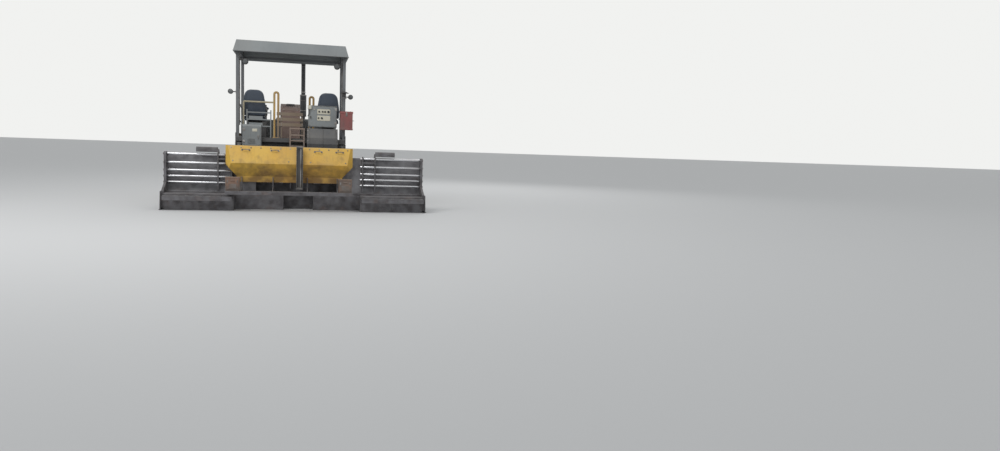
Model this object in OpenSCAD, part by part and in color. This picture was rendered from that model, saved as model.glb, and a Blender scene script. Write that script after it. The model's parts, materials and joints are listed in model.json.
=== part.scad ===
// Crawler asphalt paver with a telescoping screed, in millimetres.
// +Y is the travel direction, +X the right side, +Z up. The origin is on the
// ground, midway between the two tracks and on the machine's centre plane.

/* [Tracks] */
// Distance between the idler and the drive sprocket axles
track_wheelbase = 2000; // [1900:20:2020]
// Radius of the shoe line round the end wheels
track_wheel_r = 280; // [250:5:310]
// Distance from the machine's centre plane to each track's centre
track_x = 965; // [950:5:980]
// Width of the track shoes
shoe_w = 320; // [280:10:340]
// Thickness of a shoe plate
shoe_t = 18; // [12:1:26]
// Height of the rubber pad on a shoe
pad_t = 46; // [30:1:60]
// Height of the chain links inside the shoes
link_t = 58; // [45:1:70]
// Width of the chain links
link_w = 100; // [80:5:120]
// Number of shoes in one track
shoe_count = 40; // [36:2:48]
// Radius of the bottom rollers
roller_r = 88; // [70:2:100]

/* [Frame] */
// Gap between the main frame's side plates and the track shoes
track_gap = 20; // [15:1:35]
// Thickness of the main frame's side plates
frame_t = 20; // [14:1:28]
// Rear end of the main frame, behind the origin
frame_rear = 1380; // [1360:10:1400]
// Front end of the main frame, ahead of the origin
frame_front = 2720; // [2600:10:2780]
// Underside of the main frame
frame_z0 = 330; // [310:5:360]
// Top of the main frame under the engine
frame_z1 = 1000; // [960:10:1040]
// Top of the main frame under the hopper
frame_hopper_z = 545; // [530:5:555]
// Roof of the conveyor tunnels
tunnel_roof_z = 800; // [760:10:840]
// How far the fenders and the platform reach out past the track shoes
fender_over = 30; // [20:1:33]

/* [Conveyors] */
// Gap between a slat conveyor and the main frame's side plate
conveyor_gap = 82; // [74:2:160]
// Half width of the divider between the conveyors
divider_half_w = 85; // [80:5:110]
// Radius of the conveyor chain round its end shafts
conveyor_r = 62; // [50:2:64]
// Number of slats in one conveyor loop
slat_count = 28; // [20:1:34]
// Height of a slat over the chain
slat_t = 26; // [18:1:34]

/* [Hopper] */
// How far the hopper wings reach out past the fenders
wing_over = 90; // [75:5:105]
// Top of the hopper wings
wing_top_z = 1480; // [1350:10:1560]
// Wall thickness of the hopper wings
wing_t = 14; // [10:1:20]
// Rear end of the wings
wing_rear = 1270; // [1260:5:1290]
// Front end of the wings
wing_front = 2650; // [2500:10:2650]
// Radius of the push rollers
push_roller_r = 110; // [90:5:120]
// Length of one push roller
push_roller_w = 640; // [500:10:700]

/* [Engine hood] */
// How far the hood stands out over the main frame's side plates
hood_over = 35; // [10:5:60]
// Top of the hood
hood_top_z = 1900; // [1800:10:1960]
// Front end of the hood
hood_front = 1185; // [1150:5:1190]
// Rear end of the hood
hood_rear = -70; // [-100:5:-40]
// Thickness of the hood's walls
hood_t = 16; // [10:1:20]
// Number of louvres in a hood door
louvre_count = 9; // [5:1:11]

/* [Operator platform] */
// Height of the platform floor
floor_z = 1470; // [1440:10:1500]
// Rear edge of the platform, behind the origin
floor_rear = 1560; // [1540:10:1580]
// Front edge of the platform, behind the origin
floor_front = 85; // [80:5:140]
// Distance of each seat's centre from the platform's outer edge
seat_inset = 375; // [365:5:415]
// Height of a seat's cushion over the floor
seat_h = 480; // [430:10:520]

/* [Canopy] */
// Underside of the canopy's rim
canopy_z = 3260; // [3100:10:3400]
// Height of the canopy's sloped rim
canopy_h = 240; // [180:10:280]
// How far the canopy's lower rim reaches out past the platform
canopy_over = 37; // [20:1:65]
// Length of the canopy
canopy_len = 1950; // [1800:10:2050]
// Inward lean of the rim, from bottom to top
canopy_lean = 66; // [40:2:90]
// Thickness of the canopy's shell
canopy_t = 24; // [16:1:32]
// Width of a canopy post
post_w = 64; // [50:2:76]

/* [Augers] */
// Radius of the spreading augers
auger_r = 180; // [150:5:190]
// Radius of an auger's shaft
auger_shaft_r = 42; // [36:2:60]
// Height of the auger shaft
auger_z = 400; // [370:10:440]
// Turns of the flight on one auger
auger_turns = 3.5; // [2.5:0.5:4.5]

/* [Tow arms] */
// Tow point, ahead of the origin
tow_y = 300; // [250:10:340]
// Height of the tow point
tow_z = 520; // [500:5:540]
// Thickness of a tow arm
arm_t = 66; // [56:2:70]
// Radius of the tow pins
tow_pin_r = 35; // [28:1:42]

/* [Screed] */
// Width of the base screed
base_w = 2500; // [2300:10:2540]
// Depth of each row of sole plates
row_depth = 320; // [280:5:325]
// Height of the screed boxes
box_h = 330; // [300:5:340]
// Thickness of the sole plates
sole_t = 14; // [10:1:20]
// Front face of the base screed, behind the origin
screed_front = 1950; // [1940:5:1970]
// Top of the yellow rear cover
cover_top_z = 1290; // [1240:10:1340]
// Height of the crease across the rear cover
cover_crease_z = 940; // [900:10:980]
// Lower edge of the rear cover
cover_low_z = 560; // [540:10:600]
// Thickness of the cover's sheet
cover_t = 10; // [6:1:14]
// Height of the main footboard's underside
board_z = 372; // [360:2:390]
// Thickness of the footboards
board_t = 26; // [18:1:30]
// Depth of the footboards
board_depth = 230; // [180:10:250]
// Radius of the guide tubes
tube_r = 27; // [22:1:30]
// Thickness of the upright plates that hold the mix back ahead of the tubes
curtain_t = 10; // [6:1:12]

/* [Screed extension] */
// How far the left inner stage stands out
left_inner = 130; // [20:10:600]
// How far the left outer stage stands out of the inner one
left_outer = 940; // [100:10:940]
// How far the right inner stage stands out
right_inner = 450; // [20:10:600]
// How far the right outer stage stands out of the inner one
right_outer = 940; // [100:10:940]
// Length of the inner stage's upright plate
inner_curtain = 700; // [450:10:760]
// Length of the outer stage's upright plate, its stroke and the overlap with the inner stage
outer_curtain = 1000; // [990:10:1100]

/* [Hidden] */
$fn = 48;
// Running clearance of pins and shafts, and the gap between seated pieces
fit = 0.3;
// Clearance between pieces that pass each other
pass = 6;

// Tracks
axle_z = track_wheel_r + shoe_t + pad_t;
track_mid_y = -10;
track_half = track_wheelbase / 2;
shoe_pitch = (2 * track_wheelbase + 2 * PI * track_wheel_r) / shoe_count;
// Largest wheel that fits inside the chain's polygon
end_wheel_r = (track_wheel_r - link_t) * cos(90 * shoe_pitch / (PI * track_wheel_r)) - 1;
chain_low = track_wheel_r - link_t;
roller_gap = 2 * roller_r + 24;
track_outer_x = track_x + shoe_w / 2;

// Widths, from the tracks outwards
frame_half_w = track_x - shoe_w / 2 - track_gap;
body_half_w = track_outer_x + fender_over;
wing_half_w = body_half_w + wing_over;
hood_half_w = frame_half_w + hood_over;
canopy_half_w = body_half_w + canopy_over;
seat_x = body_half_w - seat_inset;

// Frame
frame_in = frame_half_w - frame_t;
deck_t = 15;
conveyor_z = 437;
conveyor_x = divider_half_w + 8;
conveyor_w = frame_in - conveyor_x - conveyor_gap;
conveyor_front = 2580;
conveyor_rear = -1290;
conveyor_half = (conveyor_front - conveyor_rear) / 2;
slat_pitch = (4 * conveyor_half + 2 * PI * conveyor_r) / slat_count;
link_plate_t = 12;

// Bores for lashing the machine down, in Y and Z
lashing = [[80 - frame_rear, 760], [frame_front - 65, 440]];
lashing_r = 22;

// Hopper
hinge_x = frame_half_w + 5;
hinge_z = 588;
hinge_r = 26;
hinge_pin_r = 14;
// Rear ends of the fixed hinge knuckles
knuckle_y = [1310, 1930, 2560];
knuckle_len = 60;
wing_foot = [wing_half_w - 63, 700];
wing_cyl_y = 2080;
wing_pin = [frame_half_w + 73, 372];
wing_eye = [wing_half_w - 97, 632];
cyl_r = 38;
cyl_pin_r = 14;
rod_r = 18;
eye_r = 34;
eye_w = 40;

// Augers
auger_y = -1620;
auger_in = 75;
auger_out = body_half_w - 35;

// Tow arms and lift cylinders
arm_x = track_outer_x + 40;
lift_x = body_half_w - 75;
lift_top = [-1500, 1330];
lift_eye = [-1700, 660];
lift_r = 48;
lift_pin_r = 20;
lift_rod_r = 26;
lift_barrel_len = 350;
lift_len = norm(lift_eye - lift_top);
lift_lean = atan2(lift_top[0] - lift_eye[0], lift_top[1] - lift_eye[1]);

// Screed
row1 = -screed_front;
row2 = row1 - row_depth - pass;
row3 = row2 - row_depth - pass;
screed_rear = row3 - row_depth;
half_base = base_w / 2;
back_beam_y = row1 - row_depth;
plane_a = back_beam_y - 95;
plane_b = plane_a - 165;
plate_t = 22;
cover_top_y = plane_b - 175;
cover_crease_y = cover_top_y - 95;
cover_low_y = cover_top_y + 60;
board_rear = screed_rear - board_depth;
// Heights of the guide tubes: three carry the inner stage, five the outer one
inner_tube_z = [560, 760, 960];
outer_tube_z = [525, 645, 765, 915, 1085];
tube_len = half_base - 15;
// Underside of the hose box, above the outer stage's end frame
hose_box_z = 1138;
guide_in = half_base - 250;
// Half depth of the base's guide plates, and the gap the upright plate of the outer stage keeps to them
guide_half = 62;
curtain_gap = 10;
curtain_y = plane_a - guide_half - curtain_gap;
curtain_low = 350;
curtain_high = 1100;

// Shapes used everywhere

module block(x0, x1, y0, y1, z0, z1) {
  translate([x0, y0, z0]) cube([x1 - x0, y1 - y0, z1 - z0]);
}

// A profile drawn in Y and Z, drawn out along X
module along_x(x0, x1) {
  translate([x0, 0, 0]) rotate([90, 0, 90]) linear_extrude(x1 - x0) children();
}

// A profile drawn in X and Z, drawn out along Y
module along_y(y0, y1) {
  translate([0, y1, 0]) rotate([90, 0, 0]) linear_extrude(y1 - y0) children();
}

module rod_x(x0, x1, y, z, r) {
  translate([x0, y, z]) rotate([0, 90, 0]) cylinder(r = r, h = x1 - x0);
}

module rod_y(y0, y1, x, z, r) {
  translate([x, y0, z]) rotate([-90, 0, 0]) cylinder(r = r, h = y1 - y0);
}

module rod_z(z0, z1, x, y, r) {
  translate([x, y, z0]) cylinder(r = r, h = z1 - z0);
}

// s = 1 keeps the right side, s = -1 mirrors it to the left
module on_side(s) {
  if (s > 0) children();
  else mirror([1, 0, 0]) children();
}

// A chain loop round two wheels, a stadium with half length a and radius r:
// the point at distance s along it and height h outside it
function loop_point(s, h, a, r) =
  let (bend = PI * r, t = s % (4 * a + 2 * bend))
  t < 2 * a ? [a - t, -(r + h)]
  : t < 2 * a + bend ? let (q = (t - 2 * a) / r * 180 / PI) [-a - (r + h) * sin(q), -(r + h) * cos(q)]
  : t < 4 * a + bend ? [t - 3 * a - bend, r + h]
  : let (q = (t - 4 * a - bend) / r * 180 / PI) [a + (r + h) * sin(q), (r + h) * cos(q)];

// The loop's joints, one to a pitch
function loop_ring(n, p, h, a, r) = [for (i = [0:n - 1]) loop_point(i * p, h, a, r)];

// The loop's outside with a raised block of height top on each pitch, gap apart
function block_ring(n, p, low, top, gap, a, r) = [
  for (i = [0:n - 1], c = [[gap / 2, low], [gap / 2, top], [p - gap / 2, top], [p - gap / 2, low]])
    loop_point(i * p + c[0], c[1], a, r)
];

// Tracks and undercarriage

module track(s) {
  color("dimgray") on_side(s) translate([track_x, track_mid_y, axle_z]) {
    along_x(-shoe_w / 2, shoe_w / 2) difference() {
      polygon(block_ring(shoe_count, shoe_pitch, shoe_t, shoe_t + pad_t, 26, track_half, track_wheel_r));
      polygon(loop_ring(shoe_count, shoe_pitch, 0, track_half, track_wheel_r));
    }
    along_x(-link_w / 2, link_w / 2) difference() {
      polygon(loop_ring(shoe_count, shoe_pitch, shoe_t / 2, track_half, track_wheel_r));
      polygon(loop_ring(shoe_count, shoe_pitch, -link_t, track_half, track_wheel_r));
    }
  }
}

// A flanged roller on its shaft, which runs on the chain links
module track_roller(y, z, r) {
  rod_x(-link_w / 2 - 2, link_w / 2 + 2, y, z, r);
  for (s = [-1, 1]) on_side(s) rod_x(link_w / 2 + 8, link_w / 2 + 26, y, z, r + 18);
  rod_x(-112, 112, y, z, 26);
}

module sprocket() {
  teeth = 11;
  along_x(-35, 35) difference() {
    polygon([for (i = [0:teeth - 1], c = [[-9, -26], [-5, 0], [5, 0], [9, -26]])
      let (q = i * 360 / teeth + c[0]) (end_wheel_r + c[1]) * [cos(q), sin(q)]]);
    for (i = [0:5]) rotate(i * 60) translate([end_wheel_r * 0.62, 0]) circle(r = 24);
  }
}

module undercarriage(s) {
  beam_top = 96;
  color("darkslategray") on_side(s) translate([track_x, track_mid_y, axle_z]) {
    // side plates with the idler yoke ahead and the drive boss behind
    for (x = [-118, 96]) along_x(x, x + 22) difference() {
      polygon([[-track_half + 150, -170], [track_half - 330, -170], [track_half - 200, -60],
        [track_half + 30, -52], [track_half + 60, 0], [track_half + 30, 52],
        [track_half - 200, 70], [track_half - 300, beam_top], [-track_half + 250, beam_top],
        [-track_half + 60, 120], [-track_half - 70, 100], [-track_half - 110, 0],
        [-track_half - 70, -100], [-track_half + 40, -130]]);
      for (y = [-420, 0, 420]) translate([y, -10]) circle(r = 52);
    }
    block(-118, 118, -track_half + 300, track_half - 420, beam_top - 20, beam_top);
    for (i = [-2:2]) track_roller(i * roller_gap * 1.35, -chain_low + roller_r + fit, roller_r);
    for (y = [-330, 330]) track_roller(y, chain_low - 46 - fit, 46);
    // carrier roller stands on the beam
    for (y = [-330, 330], x = [-112, 96]) block(x, x + 16, y - 30, y + 30, beam_top - 10, chain_low - 20);
    // idler with recessed faces
    difference() {
      rod_x(-46, 46, track_half, 0, end_wheel_r);
      for (x = [-47, 24]) rod_x(x, x + 23, track_half, 0, end_wheel_r - 40);
    }
    rod_x(-118, 130, track_half, 0, 48);
    translate([0, -track_half, 0]) sprocket();
    rod_x(-118, 118, -track_half, 0, 118);
    rod_x(117, 142, -track_half, 0, 92);
    // cross members to the main frame
    for (y = [-560, 480]) block(frame_half_w - track_x + fit, -100, y, y + 150, -150, 40);
  }
}

// Main frame, with the conveyor tunnels and the fenders

module frame_outline() {
  polygon([[-frame_rear, frame_z0 + 60], [-frame_rear + 90, frame_z0], [frame_front - 60, frame_z0],
    [frame_front, frame_z0 + 60], [frame_front, frame_hopper_z], [hood_front + 75, frame_hopper_z],
    [hood_front + 55, frame_hopper_z + 130], [hood_front, frame_z1], [-frame_rear, frame_z1]]);
}

module chassis() {
  color("dimgray") {
    for (s = [-1, 1]) on_side(s) {
      difference() {
        along_x(frame_in, frame_half_w) frame_outline();
        for (p = lashing) rod_x(frame_in - 1, frame_half_w + 1, p[0], p[1], lashing_r);
      }
      // fender over the track, with a turned-down lip
      along_x(frame_half_w - 1, body_half_w) polygon([[-frame_rear, frame_z1 - deck_t],
        [hood_front - 10, frame_z1 - deck_t], [hood_front - 10, frame_z1], [-frame_rear, frame_z1]]);
      block(body_half_w - 12, body_half_w, -frame_rear, hood_front - 10, frame_z1 - 90, frame_z1);
      // sloped feed plate from the wing hinge down to the conveyor
      along_y(hood_front + 76, frame_front - 40) polygon([[conveyor_x + conveyor_w + 12, 512],
        [frame_in + 1, 540], [frame_in + 1, 500], [conveyor_x + conveyor_w + 12, 500]]);
      // end shafts of the conveyor and their bearing plates
      for (y = [conveyor_front, conveyor_rear])
        rod_x(divider_half_w - 10, frame_in + 5, y, conveyor_z, conveyor_r - link_plate_t - fit);
    }
    // floor between the upper and lower runs of the conveyors
    block(-frame_in - 1, frame_in + 1, conveyor_rear + 80, conveyor_front - 80, conveyor_z - 8, conveyor_z + 8);
    // divider, roofed like a ridge inside the hopper
    block(-divider_half_w, divider_half_w, -frame_rear, hood_front + 60, frame_z0, tunnel_roof_z + 1);
    along_y(hood_front + 59, frame_front - 30) polygon([[-divider_half_w, frame_z0],
      [divider_half_w, frame_z0], [divider_half_w, 520], [0, 575], [-divider_half_w, 520]]);
    block(-frame_in - 1, frame_in + 1, -frame_rear, hood_front + 40, tunnel_roof_z, tunnel_roof_z + deck_t);
    // rear wall of the hopper over the tunnel gates
    along_y(hood_front + 40, hood_front + 60) polygon([[-wing_half_w + 130, 800], [wing_half_w - 130, 800],
      [wing_half_w - 80, 1330], [-wing_half_w + 80, 1330]]);
    // cross members
    block(-frame_in - 1, frame_in + 1, frame_front - 40, frame_front, frame_z0 + 62, frame_hopper_z);
    block(-frame_in - 1, frame_in + 1, -frame_rear, -frame_rear + 20, tunnel_roof_z, frame_z1);
    block(-frame_in - 1, frame_in + 1, -frame_rear, -frame_rear + 120, frame_z1 - deck_t, frame_z1);
    // fixed hinge knuckles of the hopper wings
    for (s = [-1, 1], y = knuckle_y) on_side(s) difference() {
      union() {
        rod_y(y, y + knuckle_len, hinge_x, hinge_z, hinge_r);
        block(frame_in, frame_half_w, y, y + knuckle_len, frame_hopper_z - 1, hinge_z);
      }
      rod_y(y - 1, y + knuckle_len + 1, hinge_x, hinge_z, hinge_pin_r + fit);
    }
    // lower brackets of the wing cylinders
    for (s = [-1, 1], y = [-64, 46]) on_side(s) translate([0, wing_cyl_y + y, 0]) difference() {
      along_y(0, 18) polygon([[frame_half_w - 1, 335], [wing_pin[0] + 10, 345], [wing_pin[0] + 32, wing_pin[1]],
        [wing_pin[0] + 10, 410], [frame_half_w - 1, 450]]);
      rod_y(-1, 19, wing_pin[0], wing_pin[1], cyl_pin_r + fit);
    }
  }
}

// A flat loop round two wheels, seen from the side
module stadium(a, r) {
  translate([-a, -r]) square([2 * a, 2 * r]);
  for (y = [-a, a]) translate([y, 0]) circle(r = r);
}

// Both conveyors: chain loops with raised slats
module conveyors() {
  slat_w = 60;
  color("slategray") for (s = [-1, 1]) on_side(s)
    translate([0, (conveyor_front + conveyor_rear) / 2, conveyor_z])
      along_x(conveyor_x, conveyor_x + conveyor_w) {
        difference() {
          stadium(conveyor_half, conveyor_r);
          stadium(conveyor_half, conveyor_r - link_plate_t);
        }
        for (i = [0:slat_count - 1]) polygon([for (c = [[0, -3], [0, slat_t], [slat_w, slat_t], [slat_w, -3]])
          loop_point(i * slat_pitch + c[0], c[1], conveyor_half, conveyor_r)]);
      }
}

// Hopper wings

module wing(s) {
  inner = wing_half_w - wing_t;
  color("goldenrod") on_side(s) {
    intersection() {
      // floor rising from the hinge, then the outer wall
      along_y(wing_rear, wing_front) polygon([[hinge_x + hinge_r + 5, hinge_z + 13],
        [hinge_x + hinge_r + 5, hinge_z - 1], [wing_foot[0], wing_foot[1] - wing_t], [wing_half_w, wing_foot[1] + 60], [wing_half_w, wing_top_z],
        [inner, wing_top_z], [inner, wing_foot[1] + 66], [wing_foot[0] - 6, wing_foot[1]]]);
      // side outline, lower towards the front
      along_x(hinge_x - 50, wing_half_w + 1) polygon([[wing_rear, 500], [wing_front, 500],
        [wing_front, 1060], [wing_front - 300, 1180], [wing_rear + 380, wing_top_z], [wing_rear, wing_top_z]]);
    }
    // rear gusset wall
    along_y(wing_rear, wing_rear + wing_t) polygon([[hinge_x + 40, hinge_z + 22], [wing_foot[0], wing_foot[1] - 2],
      [inner + 1, wing_foot[1] + 62], [inner + 1, wing_top_z - 40], [1010, wing_top_z - 160]]);
    // rolled top rail and upright ribs outside
    rod_y(wing_rear, wing_rear + 380, inner - 9, wing_top_z - 14, 16);
    for (y = [1500, 1950, 2400]) intersection() {
      along_y(y, y + 16) polygon([[wing_foot[0] - 120, 640], [wing_foot[0], 650], [wing_half_w - 3, 740],
        [wing_half_w - 3, 1000], [wing_half_w - wing_t - 1, 1000], [wing_half_w - wing_t - 1, 765],
        [wing_foot[0] - 4, wing_foot[1] - 6], [wing_foot[0] - 120, 668]]);
      block(hinge_x, wing_half_w, y, y + 16, 500, wing_top_z);
    }
    // hinge tubes between the fixed knuckles
    for (i = [0:len(knuckle_y) - 2]) difference() {
      y0 = knuckle_y[i] + knuckle_len + pass;
      y1 = knuckle_y[i + 1] - pass;
      union() {
        rod_y(y0, y1, hinge_x, hinge_z, hinge_r);
        block(hinge_x, hinge_x + hinge_r + 12, y0, y1, hinge_z + 2, hinge_z + 14);
      }
      rod_y(y0 - 1, y1 + 1, hinge_x, hinge_z, hinge_pin_r);
    }
    // the hinge's pin turns with the wing
    rod_y(knuckle_y[0], knuckle_y[2] + knuckle_len, hinge_x, hinge_z, hinge_pin_r);
    // fork for the cylinder's eye
    for (y = [-eye_w / 2 - 21, eye_w / 2 + 5]) along_y(wing_cyl_y + y, wing_cyl_y + y + 16)
      polygon([[wing_eye[0] - 30, wing_eye[1] - 10], [wing_eye[0] - 8, wing_eye[1] - 34],
        [wing_eye[0] + 22, wing_eye[1] - 28], [wing_eye[0] + 36, wing_eye[1] + 6],
        [wing_eye[0] + 34, wing_foot[1] - 8], [wing_eye[0] - 70, wing_foot[1] - 26]]);
  }
}

// Wing cylinder, placed on its lower pin with its axis towards the eye
module wing_cylinder_axis() {
  lean = atan2(wing_eye[0] - wing_pin[0], wing_eye[1] - wing_pin[1]);
  translate([wing_pin[0], wing_cyl_y, wing_pin[1]]) rotate([0, lean, 0]) children();
}

wing_cyl_len = norm(wing_eye - wing_pin);

module wing_barrel(s) {
  color("silver") on_side(s) wing_cylinder_axis() difference() {
    union() {
      rod_z(24, wing_cyl_len - 78, 0, 0, cyl_r);
      rod_y(-41, 41, 0, 0, 28);
      rod_y(-63, 63, 0, 0, cyl_pin_r);
      rod_z(wing_cyl_len - 104, wing_cyl_len - 78, 0, 0, cyl_r + 5);
      block(-16, 16, -16, 16, 10, 30);
    }
    rod_z(60, wing_cyl_len - 70, 0, 0, rod_r + fit);
  }
}

module wing_rod(s) {
  color("gainsboro") on_side(s) wing_cylinder_axis() {
    rod_z(72, wing_cyl_len - 20, 0, 0, rod_r);
    rod_y(-eye_w / 2, eye_w / 2, 0, wing_cyl_len, eye_r - 6);
  }
}

// Push beam and rollers at the front

module push_beam() {
  roller_y = frame_front + 270;
  color("dimgray") {
    block(-body_half_w + 205, body_half_w - 205, frame_front + fit, frame_front + 110, 400, 545);
    for (s = [-1, 1]) on_side(s) {
      for (x = [push_roller_left_x(), push_roller_left_x() + push_roller_w + 36])
        difference() {
          along_x(x, x + 18) polygon([[frame_front + 100, 400], [roller_y - 20, 420], [roller_y + 40, 450],
            [roller_y + 52, 480], [roller_y + 40, 510], [roller_y - 20, 540], [frame_front + 100, 545]]);
          rod_x(x - 1, x + 19, roller_y, 480, 26 + fit);
        }
    }
    // oscillation boss under the beam
    rod_y(frame_front + 20, frame_front + 100, 0, 472, 84);
  }
}

function push_roller_left_x() = 210;

module push_roller(s) {
  roller_y = frame_front + 270;
  x0 = push_roller_left_x() + 18 + pass;
  x1 = x0 + push_roller_w + 6;
  color("gray") on_side(s) {
    rod_x(x0 - pass - 16, x1 + pass + 16, roller_y, 480, 26);
    rod_x(x0, x1, roller_y, 480, push_roller_r - 6);
    for (x = [x0 + 2, x1 - 32]) rod_x(x, x + 30, roller_y, 480, push_roller_r);
  }
}

// Rubber apron across the hopper's mouth
module front_apron() {
  color("black") along_x(-frame_in, frame_in) polygon([[frame_front - 20, frame_hopper_z + fit],
    [frame_front, frame_hopper_z + fit], [frame_front + 60, 760], [frame_front + 40, 764]]);
}

// Engine and hood

module engine_block() {
  color("gray") {
    block(-340, 340, 180, 980, tunnel_roof_z + deck_t + fit, 1480);
  }
}

// The hood's cross section, with bevelled shoulders; d shrinks it
module hood_section(d) {
  polygon([[-hood_half_w + d, frame_z1], [hood_half_w - d, frame_z1], [hood_half_w - d, hood_top_z - 150],
    [hood_half_w - 90 - d / 2, hood_top_z - d], [-hood_half_w + 90 + d / 2, hood_top_z - d],
    [-hood_half_w + d, hood_top_z - 150]]);
}

door_front = 1100;
door_rear = 30;
door_low = 1050;
door_high = 1700;

// Hinge line of the hood doors, and the knuckles that stay on the hood
hinge_line = [hood_half_w + 12, door_front - 16];
knuckle_h = 60;
knuckle_z = [door_low + 70, (door_low + door_high - knuckle_h) / 2, door_high - 70 - knuckle_h];

module hood_shell() {
  color("darkslategray") {
    difference() {
      union() {
        difference() {
          along_y(hood_rear, hood_front) hood_section(0);
          along_y(hood_rear + hood_t, hood_front - hood_t) translate([0, -2]) hood_section(hood_t);
        }
        // raised cooler cover on the top
        along_y(620, 1060) polygon([[-430, hood_top_z - 3], [430, hood_top_z - 3], [390, hood_top_z + 70], [-390, hood_top_z + 70]]);
      }
      for (s = [-1, 1]) on_side(s) block(hood_half_w - hood_t - 1, hood_half_w + 1, door_rear, door_front, door_low, door_high);
      // cooler slots in the front wall and the top
      for (i = [0:7]) block(-560, 560, hood_front - hood_t - 1, hood_front + 1, 1360 + i * 52, 1388 + i * 52);
      for (i = [0:5]) block(-340, 340, 660 + i * 64, 690 + i * 64, hood_top_z - hood_t - 1, hood_top_z + 71);
    }
    // fixed knuckles of the door hinges
    for (s = [-1, 1], z = knuckle_z) on_side(s) difference() {
      union() {
        rod_z(z, z + knuckle_h, hinge_line[0], hinge_line[1], 12);
        block(hood_half_w - 1, hinge_line[0] + 4, door_front, door_front + 40, z, z + knuckle_h);
        block(hood_half_w + 1, hinge_line[0] + 4, hinge_line[1] + 2, door_front + 1, z, z + knuckle_h);
      }
      rod_z(z - 1, z + knuckle_h + 1, hinge_line[0], hinge_line[1], 6 + fit);
    }
  }
}

module hood_door(s) {
  y0 = door_rear + pass;
  y1 = door_front - pass;
  louvre_pitch = 440 / louvre_count;
  color("goldenrod") on_side(s) {
    difference() {
      union() {
        block(hood_half_w - hood_t, hood_half_w + 8, y0, y1, door_low + pass, door_high - pass);
        // hinge tube on the front edge
        rod_z(door_low + 40, door_high - 40, hinge_line[0], hinge_line[1], 12);
      }
      for (z = knuckle_z) block(hinge_line[0] - 19, hinge_line[0] + 13, hinge_line[1] - 17, hinge_line[1] + 13, z - 2, z + knuckle_h + 2);
      for (i = [0:louvre_count - 1]) block(hood_half_w - hood_t - 1, hood_half_w + 9, y0 + 470, y1 - 90,
        door_low + 110 + i * louvre_pitch, door_low + 110 + i * louvre_pitch + louvre_pitch * 0.5);
      block(hood_half_w + 2, hood_half_w + 9, y0 + 40, y0 + 420, door_low + 60, door_high - 60);
    }
    rod_z(door_low + 41, door_high - 41, hinge_line[0], hinge_line[1], 6);
    // handle
    block(hood_half_w + 1, hood_half_w + 20, y0 + 50, y0 + 130, 1360, 1386);
  }
}

module exhaust_stack() {
  x = 240;
  y = 330;
  top = canopy_z - 110;
  color("dimgray") {
    rod_z(hood_top_z + fit, hood_top_z + 16, x, y, 92);
    rod_z(hood_top_z + 15, top, x, y, 48);
    rod_z(hood_top_z + 120, hood_top_z + 640, x, y, 74);
    // curved outlet
    translate([x, y, top]) rotate([0, 0, 90]) translate([-110, 0, 0]) rotate([90, 0, 0])
      rotate_extrude(angle = 70) translate([110, 0]) circle(r = 48);
  }
}

// Operator platform and the tanks under it

module platform() {
  color("dimgray") {
    block(-body_half_w, body_half_w, -floor_rear, -floor_front, floor_z - 20, floor_z);
    // toe boards at the sides and edge channels below
    for (s = [-1, 1]) on_side(s) {
      block(body_half_w - 10, body_half_w, -floor_rear, -floor_front, floor_z - 1, floor_z + 90);
      block(body_half_w - 60, body_half_w, -floor_rear, -floor_front, floor_z - 70, floor_z - 19);
    }
    block(-body_half_w, body_half_w, -floor_rear, -floor_rear + 40, floor_z - 90, floor_z - 19);
    // floor ribs
    for (x = [-700, -250, 250, 700]) block(x - 15, x + 15, -floor_rear + 39, -floor_front, floor_z - 60, floor_z - 19);
    // legs down to the main frame's top
    for (s = [-1, 1], y = [-1300, -220]) on_side(s) block(frame_in - 40, frame_half_w, y, y + 80, frame_z1 + fit, floor_z - 19);
  }
}

tank_top = floor_z - 70 - fit;

// A tank with bevelled upper edges between the fender and the platform
module side_tank(x0, x1, y0, y1) {
  intersection() {
    along_y(y0, y1) polygon([[x0, frame_z1 + fit], [x1, frame_z1 + fit], [x1, tank_top - 40],
      [x1 - 40, tank_top], [x0, tank_top]]);
    along_x(x0, x1) polygon([[y0, frame_z1], [y1, frame_z1], [y1, tank_top - 60], [y1 - 60, tank_top + 1],
      [y0 + 60, tank_top + 1], [y0, tank_top - 60]]);
  }
}

module fuel_tank() {
  x1 = body_half_w - 8;
  color("goldenrod") difference() {
    mirror([1, 0, 0]) union() {
      side_tank(frame_half_w + 5, x1, -1340, -130);
      rod_z(tank_top - 30, tank_top - 2, 900, -700, 45);
    }
    // boarding steps cut into the outer side
    mirror([1, 0, 0]) for (z = [1120, 1270]) block(x1 - 130, x1 + 1, -560, -260, z, z + 105);
  }
}

module hydraulic_tank() {
  x1 = body_half_w - 8;
  color("goldenrod") difference() {
    side_tank(frame_half_w + 5, x1, -1340, -130);
    for (z = [1120, 1270]) block(x1 - 130, x1 + 1, -560, -260, z, z + 105);
  }
}

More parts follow.
